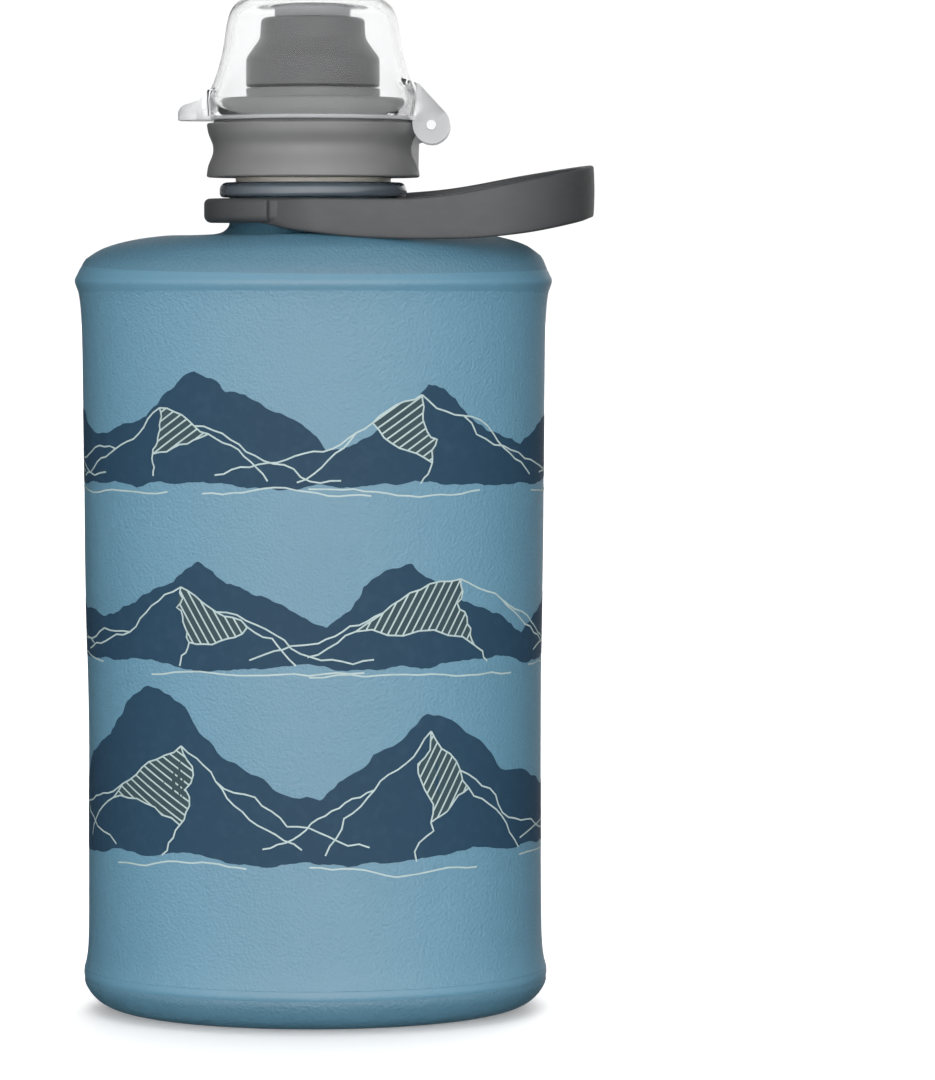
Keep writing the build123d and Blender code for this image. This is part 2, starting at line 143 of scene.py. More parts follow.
class Tree:
    """A material's node tree, with short ways to add and join nodes."""

    def __init__(self, name: str) -> None:
        """Starts a material.

        Args:
            name: the material's name.
        """
        self.material = bpy.data.materials.new(name)
        self.material.use_nodes = True
        self.tree = self.material.node_tree
        self.shader = self.tree.nodes["Principled BSDF"]
        self.place = self.add("ShaderNodeTexCoord").outputs["Object"]

    def add(self, kind: str, **values: object) -> bpy.types.Node:
        """Adds a node.

        Args:
            kind: the node's type.
            values: attributes of the node, or values of its named inputs.

        Returns:
            The new node.
        """
        node = self.tree.nodes.new(kind)
        for key, value in values.items():
            if hasattr(node, key):
                setattr(node, key, value)
            else:
                node.inputs[key.replace("_", " ").title()].default_value = value
        return node

    def join(self, source: bpy.types.NodeSocket, target: bpy.types.NodeSocket) -> None:
        """Links one socket to another."""
        self.tree.links.new(source, target)

    def noise(
        self, size_mm: float, detail: float = 2.0, stretch: Spot | None = None
    ) -> bpy.types.NodeSocket:
        """Adds a noise texture in object space.

        Args:
            size_mm: size of its features.
            detail: octaves of finer noise.
            stretch: scale along each axis before the noise, if uneven.

        Returns:
            The noise's value socket.
        """
        node = self.add("ShaderNodeTexNoise", scale=1.0 / (size_mm * MM), detail=detail)
        source = self.place
        if stretch is not None:
            mapping = self.add("ShaderNodeMapping")
            mapping.inputs["Scale"].default_value = stretch
            self.join(source, mapping.inputs["Vector"])
            source = mapping.outputs["Vector"]
        self.join(source, node.inputs["Vector"])
        return node.outputs["Fac"]

    def spread(
        self,
        value: bpy.types.NodeSocket,
        low: float,
        high: float,
        start: float = 0.3,
        end: float = 0.7,
    ) -> bpy.types.NodeSocket:
        """Maps a value's range to another.

        Args:
            value: the value to map.
            low: result at start.
            high: result at end.
            start: value that gives low.
            end: value that gives high.

        Returns:
            The mapped value's socket.
        """
        node = self.add("ShaderNodeMapRange")
        for name, number in zip(RANGE_INPUTS, (start, end, low, high)):
            node.inputs[name].default_value = number
        self.join(value, node.inputs["Value"])
        return node.outputs["Result"]

    def math(
        self, operation: str, one: bpy.types.NodeSocket, two: bpy.types.NodeSocket
    ) -> bpy.types.NodeSocket:
        """Works out one sum on two values.

        Args:
            operation: the sum's name.
            one: the first value.
            two: the second value.

        Returns:
            The result's socket.
        """
        node = self.add("ShaderNodeMath", operation=operation)
        self.join(one, node.inputs[0])
        self.join(two, node.inputs[1])
        return node.outputs[0]

    def blend(self, factor: bpy.types.NodeSocket, one: Colour, two: Colour) -> bpy.types.NodeSocket:
        """Mixes two colours by a factor.

        Args:
            factor: 0 gives the first colour, 1 the second.
            one: the first colour.
            two: the second colour.

        Returns:
            The mixed colour's socket.
        """
        node = self.add("ShaderNodeMix", data_type="RGBA")
        for socket, colour in zip(MIX_COLOURS, (one, two)):
            node.inputs[socket].default_value = (*colour, 1.0)
        self.join(factor, node.inputs[0])
        return node.outputs[MIX_COLOUR_OUT]

    def feed(self, **sources: bpy.types.NodeSocket) -> None:
        """Links sockets to the shader's inputs, named with underscores for spaces."""
        for key, source in sources.items():
            self.join(source, self.shader.inputs[key.replace("_", " ").title()])

    def relief(self, layers: list[tuple[bpy.types.NodeSocket, float]]) -> None:
        """Chains bump layers into the shader's normal.

        Args:
            layers: each layer's height socket and its height in millimetres.
        """
        below = None
        for height, depth_mm in layers:
            bump = self.add("ShaderNodeBump", strength=1.0, distance=depth_mm * MM)
            self.join(height, bump.inputs["Height"])
            if below is not None:
                self.join(below, bump.inputs["Normal"])
            below = bump.outputs["Normal"]
        self.join(below, self.shader.inputs["Normal"])


@dataclass(frozen=True)
class FrostedFilm:
    """Soft welded film: frosted, faintly mottled, with a fine leathery grain."""

    name: str
    light: Colour
    deep: Colour
    rough: float = 0.45
    shine: float = 1.0
    grain_mm: float = 0.55
    grain_height: float = 0.22
    mottle_mm: float = 34.0
    smoother: float = 0.07
    rougher: float = 0.1
    swell_mm: float = 9.0
    swell_height: float = 0.12

    def make(self) -> bpy.types.Material:
        """Builds the material.

        Returns:
            The new material.
        """
        tree = Tree(self.name)
        mottle = tree.spread(tree.noise(self.mottle_mm, 3.0), 0, 1)
        grain = tree.noise(self.grain_mm, 3.0)
        rough = tree.spread(grain, self.rough - self.smoother, self.rough + self.rougher)
        tree.feed(base_color=tree.blend(mottle, self.deep, self.light), roughness=rough)
        tree.shader.inputs["Specular IOR Level"].default_value = self.shine
        tree.relief([(tree.noise(self.swell_mm), self.swell_height), (grain, self.grain_height)])
        return tree.material


@dataclass(frozen=True)
class PrintInk:
    """Ink printed on the film: it keeps the film's grain under a flat colour."""

    name: str
    colour: Colour
    worn: Colour
    rough: float = 0.55
    shine: float = 0.15
    wear_mm: float = 2.2
    wear_range: Flat = (0.5, 0.78)
    grain_mm: float = 0.55
    grain_height: float = 0.03
    smoother: float = 0.05
    rougher: float = 0.08

    def make(self) -> bpy.types.Material:
        """Builds the material.

        Returns:
            The new material.
        """
        tree = Tree(self.name)
        wear = tree.spread(tree.noise(self.wear_mm, 5.0), 0, 1, *self.wear_range)
        grain = tree.noise(self.grain_mm, 3.0)
        rough = tree.spread(grain, self.rough - self.smoother, self.rough + self.rougher)
        tree.feed(base_color=tree.blend(wear, self.colour, self.worn), roughness=rough)
        tree.shader.inputs["Specular IOR Level"].default_value = self.shine
        tree.relief([(grain, self.grain_height)])
        return tree.material


@dataclass(frozen=True)
class MouldedPlastic:
    """Moulded plastic or rubber: fine spark-eroded grain, slight flow mottling."""

    name: str
    base: Colour
    scuffed: Colour
    rough: float
    grain_mm: float = 0.3
    grain_height: float = 0.012
    coat: float = 0.0
    shine: float = 0.8
    flow_mm: float = 7.0
    flow_range: Flat = (0.35, 0.75)
    smear_mm: float = 3.0
    smear_stretch: Spot = (1.0, 1.0, 2.5)
    smoother: float = 0.92
    rougher: float = 1.12
    coat_rough: float = 0.12

    def make(self) -> bpy.types.Material:
        """Builds the material.

        Returns:
            The new material.
        """
        tree = Tree(self.name)
        flow = tree.spread(tree.noise(self.flow_mm, 4.0), 0, 1, *self.flow_range)
        smear = tree.noise(self.smear_mm, 5.0, self.smear_stretch)
        rough = tree.spread(smear, self.rough * self.smoother, self.rough * self.rougher)
        tree.feed(base_color=tree.blend(flow, self.base, self.scuffed), roughness=rough)
        tree.shader.inputs["Specular IOR Level"].default_value = self.shine
        tree.shader.inputs["Coat Weight"].default_value = self.coat
        tree.shader.inputs["Coat Roughness"].default_value = self.coat_rough
        tree.relief([(tree.noise(self.grain_mm), self.grain_height)])
        return tree.material


@dataclass(frozen=True)
class ClearMoulding:
    """Clear moulded plastic, frosted on its tab, its hinge arms and its plug ring."""

    name: str
    frosted: Colour
    clear_rough: float = 0.05
    frost_rough: float = 0.42
    ior: float = 1.24
    frost_clear: float = 0.5
    shine: float = 0.2
    smoke: float = 9.0
    tab_x: float = 20.4
    arm_x: float = 19.4
    plug_r: float = 7.9
    plug_z: float = 192.9
    lip_z: float = 174.1
    arm_fade: float = 1.2
    tab_fade: float = 0.7
    edge_fade: float = 0.4
    clear: Colour = (0.985, 0.988, 0.99)
    clear_share: float = 0.98
    haze_mm: float = 5.0
    haze_range: Flat = (-0.02, 0.04)
    ripple_mm: float = 6.0
    ripple_height: float = 0.02

    def _frost(self, tree: Tree) -> bpy.types.NodeSocket:
        """Marks the frosted zones.

        Args:
            tree: the material's nodes.

        Returns:
            A socket that is 1 where the plastic is frosted and 0 where it is clear.
        """
        axes = tree.add("ShaderNodeSeparateXYZ")
        tree.join(tree.place, axes.inputs[0])
        x, z = axes.outputs["X"], axes.outputs["Z"]
        across = tree.add("ShaderNodeVectorMath", operation="MULTIPLY")
        tree.join(tree.place, across.inputs[0])
        across.inputs[1].default_value = (1.0, 1.0, 0.0)
        reach = tree.add("ShaderNodeVectorMath", operation="LENGTH")
        tree.join(across.outputs[0], reach.inputs[0])
        fade = self.edge_fade
        arms = tree.spread(x, 0, 1, self.arm_x * MM, (self.arm_x + self.arm_fade) * MM)
        tab = tree.spread(x, 1, 0, -(self.tab_x + self.tab_fade) * MM, -self.tab_x * MM)
        lip = tree.spread(z, 1, 0, (self.lip_z - fade) * MM, self.lip_z * MM)
        top = tree.spread(z, 0, 1, self.plug_z * MM, (self.plug_z + fade) * MM)
        out = reach.outputs["Value"]
        inside = tree.spread(out, 1, 0, (self.plug_r - fade) * MM, self.plug_r * MM)
        whole = tree.math("MULTIPLY", top, inside)
        for zone in (arms, tab, lip):
            whole = tree.math("MAXIMUM", whole, zone)
        return whole

    def make(self) -> bpy.types.Material:
        """Builds the material.

        Returns:
            The new material.
        """
        tree = Tree(self.name)
        frost = self._frost(tree)
        haze = tree.spread(tree.noise(self.haze_mm, 4.0), *self.haze_range)
        rough = tree.spread(frost, self.clear_rough, self.frost_rough, 0, 1)
        tree.feed(
            roughness=tree.math("ADD", rough, haze),
            base_color=tree.blend(frost, self.clear, self.frosted),
            transmission_weight=tree.spread(frost, self.clear_share, self.frost_clear, 0, 1),
        )
        tree.shader.inputs["IOR"].default_value = self.ior
        tree.shader.inputs["Specular IOR Level"].default_value = self.shine
        smoke = tree.add("ShaderNodeVolumeAbsorption", density=self.smoke)
        smoke.inputs["Color"].default_value = BLACK
        tree.join(smoke.outputs[0], tree.tree.nodes["Material Output"].inputs["Volume"])
        tree.relief([(tree.noise(self.ripple_mm), self.ripple_height)])
        return tree.material


FILM_BLUE = FrostedFilm("frosted_film", (0.112, 0.272, 0.382), (0.098, 0.252, 0.358))
# A darker, less shiny copy of the wall's film for the foot and the shoulder: painted shade, since
# they face down and up, away from the front light.
FILM_PAINTED_SHADE = FrostedFilm(
    "frosted_film_painted_shade", (0.080, 0.200, 0.284), (0.070, 0.184, 0.264), shine=0.85
)
WELD_BLUE = FrostedFilm(
    "film_weld", (0.108, 0.264, 0.371), (0.094, 0.244, 0.347), rough=0.43, grain_height=0.08
)
RIDGE_INK = PrintInk("ridge_ink", (0.022, 0.058, 0.101), (0.028, 0.068, 0.114))
SHADE_INK = PrintInk("shade_ink", (0.042, 0.074, 0.085), (0.050, 0.088, 0.100))
LINE_INK = PrintInk("line_ink", (0.46, 0.57, 0.57), (0.38, 0.50, 0.50))
PORT_GLOSS = MouldedPlastic(
    "port_gloss", (0.085, 0.108, 0.130), (0.096, 0.120, 0.144), 0.16, 0.8, 0.006, coat=0.5
)
STRAP_RUBBER = MouldedPlastic(
    "strap_rubber", (0.046, 0.048, 0.051), (0.054, 0.056, 0.059), 0.5, 0.35, 0.02
)
CAP_SATIN = MouldedPlastic("cap_satin", (0.16, 0.16, 0.16), (0.178, 0.178, 0.177), 0.42, shine=1.0)
SPOUT_SATIN = MouldedPlastic(
    "spout_satin", (0.090, 0.090, 0.091), (0.100, 0.100, 0.101), 0.34, shine=0.4
)
CORE_SATIN = MouldedPlastic("core_satin", (0.160, 0.160, 0.160), (0.175, 0.175, 0.175), 0.35)
SEAL_RUBBER = MouldedPlastic("seal_rubber", (0.52, 0.50, 0.45), (0.46, 0.44, 0.40), 0.55)
PIN_SATIN = MouldedPlastic("pin_satin", (0.70, 0.71, 0.71), (0.76, 0.77, 0.77), 0.3)
COVER_CLEAR = ClearMoulding("cover_clear", (0.80, 0.81, 0.82))
COLLAR_NATURAL = MouldedPlastic("collar_natural", (0.74, 0.70, 0.62), (0.80, 0.76, 0.68), 0.35)


# ---------------------------------------------------------------- mesh helpers
@dataclass(frozen=True)
class Corner:
    """A corner of a lathe outline, with the radius that rounds it."""

    r: float
    z: float
    round: float = 0.0


def outline(corners: list[Corner], arc_steps: int = ARC_STEPS) -> list[Flat]:
    """Rounds the corners of a closed outline with arcs.

    Args:
        corners: the outline's corners in order.
        arc_steps: segments in each arc.

    Returns:
        The outline's points.
    """
    points: list[Flat] = []
    for last, corner, following in zip(corners[-1:] + corners, corners, corners[1:] + corners[:1]):
        here = Vector((corner.r, corner.z))
        if corner.round <= 0:
            points.append((here.x, here.y))
            continue
        before = Vector((last.r, last.z)) - here
        after = Vector((following.r, following.z)) - here
        half = before.angle(after) / 2
        reach = min(corner.round / math.tan(half), 0.49 * before.length, 0.49 * after.length)
        radius = reach * math.tan(half)
        inward = (before.normalized() + after.normalized()).normalized()
        centre = here + inward * (radius / math.sin(half))
        start = here + before.normalized() * reach - centre
        end = here + after.normalized() * reach - centre
        sweep = start.angle_signed(end)
        for k in range(arc_steps + 1):
            turn = -sweep * k / arc_steps
            cos, sin = math.cos(turn), math.sin(turn)
            r, z = start.x * cos - start.y * sin, start.x * sin + start.y * cos
            points.append((centre.x + r, centre.y + z))
    return points


def lathe(bm: bmesh.types.BMesh, points: list[Flat], steps: int = 128) -> None:
    """Turns a closed outline round the vertical axis.

    Args:
        bm: mesh to add to.
        points: outline as radius and height.
        steps: segments round the turn.
    """
    verts = [bm.verts.new((r, 0.0, z)) for r, z in points]
    edges = [bm.edges.new(pair) for pair in zip(verts, verts[1:] + verts[:1])]
    bmesh.ops.spin(
        bm, geom=verts + edges, cent=(0, 0, 0), axis=UP, angle=math.tau, steps=steps, use_merge=True
    )
    bmesh.ops.remove_doubles(bm, verts=bm.verts, dist=WELD_DIST)


def thread(bm: bmesh.types.BMesh, root: float, crest: float, start: Flat) -> None:
    """Adds one right-hand thread as a closed helical ridge.

    Args:
        bm: mesh to add to.
        root: radius its foot is sunk to.
        crest: radius of its tip.
        start: height where it starts, and the angle there in radians.
    """
    height, angle = start
    base, tip = THREAD_BASE, THREAD_TIP
    flat = [(root, -base), (root, base), (crest, tip), (crest, -tip)]
    verts = [bm.verts.new((r * math.cos(angle), r * math.sin(angle), height + z)) for r, z in flat]
    edges = [bm.edges.new((verts[i], verts[(i + 1) % 4])) for i in range(4)]
    steps = round(96 * THREAD_TURNS)
    before = set(bm.faces)
    bmesh.ops.spin(
        bm,
        geom=verts + edges,
        cent=(0, 0, 0),
        axis=UP,
        dvec=(0, 0, THREAD_PITCH * THREAD_TURNS / steps),
        angle=math.tau * THREAD_TURNS,
        steps=steps,
    )
    made = [f for f in bm.faces if f not in before]
    rim = {e for f in made for e in f.edges if len(e.link_faces) == 1}
    bmesh.ops.holes_fill(bm, edges=list(rim), sides=4)


def finish_mesh(bm: bmesh.types.BMesh, name: str, recalculate: bool = True) -> bpy.types.Object:
    """Turns a mesh made in millimetres into an object of the scene.

    Args:
        bm: the mesh, which is freed.
        name: the piece's name.
        recalculate: whether its normals are turned outwards.

    Returns:
        The new object.
    """
    if recalculate:
        bmesh.ops.recalc_face_normals(bm, faces=bm.faces)
    bmesh.ops.scale(bm, vec=(MM, MM, MM), verts=bm.verts)
    mesh = bpy.data.meshes.new(name)
    bm.to_mesh(mesh)
    bm.free()
    mesh.polygons.foreach_set("use_smooth", [True] * len(mesh.polygons))
    mesh.set_sharp_from_angle(angle=SMOOTH_LIMIT)
    piece = bpy.data.objects.new(name, mesh)
    bpy.context.scene.collection.objects.link(piece)
    return piece


def dress(piece: bpy.types.Object, material: bpy.types.Material, slot: Slot | None = None) -> None:
    """Gives a piece its only material.

    Args:
        piece: the piece.
        material: its finish.
        slot: not used.
    """
    piece.data.materials.clear()
    piece.data.materials.append(material)


def through(points: list[tuple[float, ...]], steps: int) -> list[tuple[float, ...]]:
    """Runs a smooth curve through points.

    Args:
        points: the points, of any number of values each.
        steps: stretches between one point and the next.

    Returns:
        The curve's points.
    """

    def between(p: float, q: float, r: float, s: float, t: float) -> float:
        """Value a share t of the way from q to r, with p before them and s after."""
        bend, twist = 2 * p - 5 * q + 4 * r - s, 3 * q - p - 3 * r + s
        return 0.5 * (2 * q + (r - p) * t + bend * t**2 + twist * t**3)

    ends = [points[0], *points, points[-1]]
    curve: list[tuple[float, ...]] = []
    for four in zip(ends, ends[1:], ends[2:], ends[3:]):
        curve += [tuple(between(*v, k / steps) for v in zip(*four)) for k in range(steps)]
    curve.append(points[-1])
    return curve


def ramp(value: float, start: float, length: float) -> float:
    """Share of the way along a stretch, held between 0 and 1 outside it."""
    return min(max((value - start) / length, 0.0), 1.0)


# ---------------------------------------------------------------- film body
@dataclass
class WallShape:
    """Outside shape of the printed wall: an oval that flares into both welds."""

    box: NodeBox = field(default_factory=lambda: NodeBox.of("side_wall"))
    flare_top: float = 1.1
    flare_top_h: float = 3.3
    flare_base: float = 0.95
    flare_base_h: float = 2.6
    depth_flare: float = 0.72
    depth_rise: float = 0.35
    waist_width: float = 44.35
    waist_depth: float = 27.95
    taper: float = 0.0037
    dip: float = 0.42
    dip_z: float = 56.0
    dip_spread: float = 32.0
    wave: float = 0.22
    wave_size: float = 34.0
    table_steps: int = 1440

    def __post_init__(self) -> None:
        """Measures the way round the oval at its waist."""
        self.lengths = [0.0]
        points = [self._waist(math.tau * i / self.table_steps) for i in range(self.table_steps + 1)]
        for one, two in zip(points, points[1:]):
            self.lengths.append(self.lengths[-1] + (two - one).length)

    def _waist(self, turn: float) -> Vector:
        """A point on the waist oval."""
        return Vector((self.waist_width * math.cos(turn), self.waist_depth * math.sin(turn)))

    @property
    def girth(self) -> float:
        """Length once round the waist."""
        return self.lengths[-1]

    def turn_at(self, along: float) -> float:
        """Finds the oval's angle at a length round it.

        Args:
            along: length from the middle of the front, growing to the right.

        Returns:
            The angle in radians.
        """
        target = (along + 0.75 * self.girth) % self.girth
        i = min(max(bisect_left(self.lengths, target), 1), self.table_steps)
        share = (target - self.lengths[i - 1]) / (self.lengths[i] - self.lengths[i - 1])
        return math.tau * (i - 1 + share) / self.table_steps

    def half_sizes(self, z: float) -> Flat:
        """Works out how wide and how deep the wall is at a height.

        Args:
            z: the height.

        Returns:
            Half the width and half the depth.
        """
        low, high = self.box.low.z, self.box.high.z
        above = math.exp(-max(high - z, 0.0) / self.flare_top_h)
        below = math.exp(-max(z - low, 0.0) / self.flare_base_h)
        flare = self.flare_top * above + self.flare_base * below
        hollow = self.dip * math.exp(-(((z - self.dip_z) / self.dip_spread) ** 2))
        rise = self.taper * (z - low) - hollow
        depth = self.waist_depth + self.depth_rise * rise + self.depth_flare * flare
        return self.waist_width + rise + flare, depth

    def point(self, turn: float, z: float, lift: float = 0.0) -> Vector:
        """A point on the wall's outside.

        Args:
            turn: angle round the oval.
            z: height.
            lift: distance out from the wall.

        Returns:
            The point, in millimetres.
        """
        a, b = self.half_sizes(z)
        out = Vector((math.cos(turn) / a, math.sin(turn) / b, 0.0)).normalized()
        spot = Vector((a * math.cos(turn), b * math.sin(turn), z))
        low, high = self.box.low.z, self.box.high.z
        middle = math.sin(math.pi * (z - low) / (high - low))
        wave = self.wave * middle * noise.noise(spot / self.wave_size)
        return spot + out * (lift + wave)


def ring_stack(bm: bmesh.types.BMesh, rings: list[Callable[[float], Vector]], sides: int) -> None:
    """Builds a tube by extruding one ring upwards and shaping each new ring.

    Args:
        bm: mesh to add to.
        rings: for each ring, a function from the angle to the point there.
        sides: vertices in each ring.
    """
    made = bmesh.ops.create_circle(bm, segments=sides, radius=1.0)["verts"]
    turns = {v: math.atan2(v.co.y, v.co.x) for v in made}
    edges = list({e for v in made for e in v.link_edges})
    for i, ring in enumerate(rings):
        if i:
            grown = bmesh.ops.extrude_edge_only(bm, edges=edges)["geom"]
            fresh = {g for g in grown if isinstance(g, bmesh.types.BMVert)}
            made = [g for g in grown if isinstance(g, bmesh.types.BMEdge)]
            edges = [e for e in made if fresh.issuperset(e.verts)]
            old, turns = turns, {}
            for v in fresh:
                below = next(e.other_vert(v) for e in v.link_edges if e.other_vert(v) in old)
                turns[v] = old[below]
        for v, turn in turns.items():
            v.co = ring(turn)


@dataclass
class FilmBody:
    """The soft welded body: foot, wall, shoulder and the two pressed welds."""

    wall: WallShape
    foot: NodeBox = field(default_factory=lambda: NodeBox.of("base_panel"))
    shoulder: NodeBox = field(default_factory=lambda: NodeBox.of("shoulder_panel"))
    sides: int = 320
    thickness: float = 0.8
    sleeve_r: float = 16.2
    crease_z: float = 146.2
    lift_left: float = 0.3
    lift_right: float = 1.15
    lift_rise: float = 5.0
    lift_clear: float = 2.0
    lift_fade: float = 10.0
    side_fade: float = 16.0
    keep: float = 0.181
    wall_rows: int = 44
    foot_steps: int = 3
    crown_steps: int = 4
    rim_steps: int = 3
    standing: tuple[Spot, ...] = (
        (0.0, 33.4, 19.7),
        (0.03, 35.8, 21.7),
        (0.35, 38.4, 23.7),
        (1.1, 40.9, 25.5),
        (2.3, 42.9, 26.9),
        (4.0, 44.4, 27.9),
        (5.8, 45.2, 28.5),
    )
    shoulder_roll: tuple[Flat, ...] = (
        (-3.2, 1.35),
        (-2.4, 0.84),
        (-1.6, 0.62),
        (-0.8, 0.33),
        (-0.1, 0.09),
        (0.4, 0.0),
        (0.9, 0.07),
        (1.6, 0.42),
        (2.6, 0.92),
        (3.5, 1.45),
        (3.3, 2.0),
    )
    foot_roll: tuple[Flat, ...] = (
        (-3.3, 1.6),
        (-3.0, 0.86),
        (-2.2, 0.33),
        (-1.5, 0.06),
        (-0.9, 0.0),
        (-0.2, 0.1),
        (0.7, 0.42),
        (1.8, 0.8),
        (2.8, 1.02),
        (3.6, 1.18),
        (3.8, 1.7),
    )

    def foot_panel(self) -> bpy.types.Object:
        """Builds the dished foot with a flat oval where it stands.

        Returns:
            The new object.
        """
        a, b = self.wall.half_sizes(self.wall.box.low.z)
        ovals = [*self.standing, (self.foot.high.z, a - 0.3, b - 0.25)]
        rings = [self._oval(0.05, 0.3, 0.3)]  # the middle of the foot's floor
        rings += [self._oval(z, p, q) for z, p, q in through(ovals, self.foot_steps)]
        return self._shell("foot_panel", rings)

    def _oval(self, z: float, a: float, b: float) -> Callable[[float], Vector]:
        """A level oval as a function of the angle."""
        return lambda turn: Vector((a * math.cos(turn), b * math.sin(turn), z))

    def _shell(self, name: str, rings: list[Callable[[float], Vector]]) -> bpy.types.Object:
        """Builds a tube from rings and gives it the film's thickness.

        Args:
            name: the piece's name.
            rings: for each ring, a function from the angle to the point there.

        Returns:
            The new object.
        """
        bm = bmesh.new()
        ring_stack(bm, rings, self.sides)
        bmesh.ops.recalc_face_normals(bm, faces=bm.faces)
        probe = max(bm.faces, key=lambda f: f.calc_center_median().x)
        if probe.normal.x < 0:
            bmesh.ops.reverse_faces(bm, faces=bm.faces)
        piece = finish_mesh(bm, name, recalculate=False)
        wall = piece.modifiers.new("film", "SOLIDIFY")
        wall.thickness = self.thickness * MM
        wall.offset = -1.0
        wall.use_even_offset = True
        return piece

    def wall_panel(self) -> bpy.types.Object:
        """Builds the printed wall.

        Returns:
            The new object.
        """
        low, high = self.wall.box.low.z, self.wall.box.high.z
        rows = self.wall_rows
        shares = [0.5 - 0.5 * math.cos(math.pi * i / rows) for i in range(rows + 1)]
        rings = [lambda turn, z=low + (high - low) * t: self.wall.point(turn, z) for t in shares]
        return self._shell("wall_panel", rings)

    def _crowned(self, z: float, a: float, b: float) -> Callable[[float], Vector]:
        """Shapes an oval of the shoulder, lifted where the soft crown stands fuller.

        Args:
            z: the oval's height.
            a: its half width.
            b: its half depth.

        Returns:
            A function from the angle to the point there.
        """
        share = ramp(z, self.shoulder.low.z, self.lift_rise)
        near_neck = ramp(a - self.sleeve_r, self.lift_clear, self.lift_fade)

        def ring(turn: float) -> Vector:
            """Finds a point of the oval.

            Args:
                turn: the angle.

            Returns:
                The point there.
            """
            side = 0.5 + 0.5 * math.tanh(a * math.cos(turn) / self.side_fade)
            full = self.lift_left + (self.lift_right - self.lift_left) * side
            return Vector((a * math.cos(turn), b * math.sin(turn), z + share * near_neck * full))

        return ring

    def shoulder_panel(self) -> bpy.types.Object:
        """Builds the bevel, the creased crown and the sleeve up the neck.

        Returns:
            The new object.
        """
        low, high = self.shoulder.low.z, self.shoulder.high.z
        a, b = self.wall.half_sizes(self.wall.box.high.z)
        r, crease = self.sleeve_r, self.crease_z
        bevel = [
            (low, a - 0.1, b - 0.1),
            (low + 1.8, a - 0.85, b - 0.7),
            (crease - 0.5, a - 1.45, b - 1.2),
        ]
        crown = [
            (crease + 0.2, a - 2.0, b - 1.75),
            (148.4, 40.4, 25.6),
            (149.9, 35.0, 23.4),
            (150.75, 28.6, 21.6),
            (151.05, 22.6, 20.0),
            (151.5, 18.3, 17.9),
            (152.7, r + 0.3, r + 0.3),
            (154.4, r, r),
            (high, r, r),
        ]
        rings = [self._crowned(*oval) for oval in (*bevel, *through(crown, self.crown_steps))]
        return self._shell("shoulder_film", rings)

    def rim(self, name: str, z: float, roll: tuple[Flat, ...], spare: Flat) -> bpy.types.Object:
        """Builds one welded rim: the soft roll where two panels are pressed together.

        Args:
            name: the piece's name.
            z: height of the joint it covers.
            roll: heights from there, each with how far it stands inside the widest oval.
            spare: how far the widest oval stands out from the wall, in width and in depth.

        Returns:
            The new object.
        """
        section = [(z + up, inset) for up, inset in roll]
        section = [section[0], *through(section[1:-1], self.rim_steps), section[-1]]
        a, b = self.wall.half_sizes(z)
        a, b = a + spare[0], b + spare[1]
        bm = bmesh.new()
        ring_stack(bm, [self._oval(height, a - d, b - d) for height, d in section], self.sides)
        rims = [e for e in bm.edges if len(e.link_faces) == 1]
        bmesh.ops.bridge_loops(bm, edges=rims)
        return finish_mesh(bm, name)

    def shoulder_rim(self) -> bpy.types.Object:
        """Builds the rounded rim between wall and shoulder."""
        return self.rim("shoulder_rim", self.wall.box.high.z, self.shoulder_roll, (0.22, 0.2))

    def foot_rim(self) -> bpy.types.Object:
        """Builds the rounded rim between foot and wall."""
        return self.rim("foot_rim", self.wall.box.low.z, self.foot_roll, (0.05, 0.08))

    def build(
        self, film: bpy.types.Material, ends: bpy.types.Material, welds: bpy.types.Material
    ) -> None:
        """Builds every film piece, dresses it and ties it to the frame.

        Args:
            film: material of the wall.
            ends: material of the foot and the shoulder, a darker copy of the wall's film that
                paints shade on them.
            welds: material of the pressed welds.
        """
        foot = self.foot_panel()
        dress(foot, ends, Slot.FILM)
        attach(foot, "base")
        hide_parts("base_panel")
        wall = self.wall_panel()
        dress(wall, film, Slot.PRINTED_FILM)
        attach(wall, "base")
        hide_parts("side_wall")
        self.fold(wall)
        shoulder = self.shoulder_panel()
        dress(shoulder, ends, Slot.FILM)
        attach(shoulder, "shoulder")
        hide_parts("shoulder_panel")
        for rim, node, body in (
            (self.foot_rim(), "base_seam", "base"),
            (self.shoulder_rim(), "top_seam", "shoulder"),
        ):
            dress(rim, welds, Slot.FILM_WELD)
            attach(rim, body)
            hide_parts(node)
        log.info("film body: foot, wall, shoulder and two welded rims")

    def fold(self, piece: bpy.types.Object) -> None:
        """Gives a piece on the wall its own copy of its mesh."""
        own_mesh(piece)


# ---------------------------------------------------------------- printed scene
def jagged(start: Flat, end: Flat, rough: float, draw: random.Random, levels: int) -> list[Flat]:
    """Breaks a straight stretch into a craggy line by halving it.

    Args:
        start: its first point.
        end: its last point.
        rough: sideways shift as a share of each stretch's length.
        draw: source of random numbers.
        levels: how many times it is halved.

    Returns:
        The line's points, with the last one left out.
    """
    points = [start, end]
    for _ in range(levels):
        finer = [points[0]]
        for (x1, y1), (x2, y2) in zip(points, points[1:]):
            shift = draw.uniform(-rough, rough)
            kink = ((x1 + x2) / 2 - (y2 - y1) * shift, (y1 + y2) / 2 + (x2 - x1) * shift)
            finer += [kink, (x2, y2)]
        points = finer
    return points[:-1]


def height_on(line: list[Flat], along: float) -> float:
    """Finds a line's height at a length along it.

    Args:
        line: the line's points, in order along the wall.
        along: the length.

    Returns:
        The height there.
    """
    i = min(max(bisect_left(line, (along, -1e9)), 1), len(line) - 1)
    (x1, y1), (x2, y2) = line[i - 1], line[i]
    return y1 + (y2 - y1) * (along - x1) / max(x2 - x1, 1e-6)


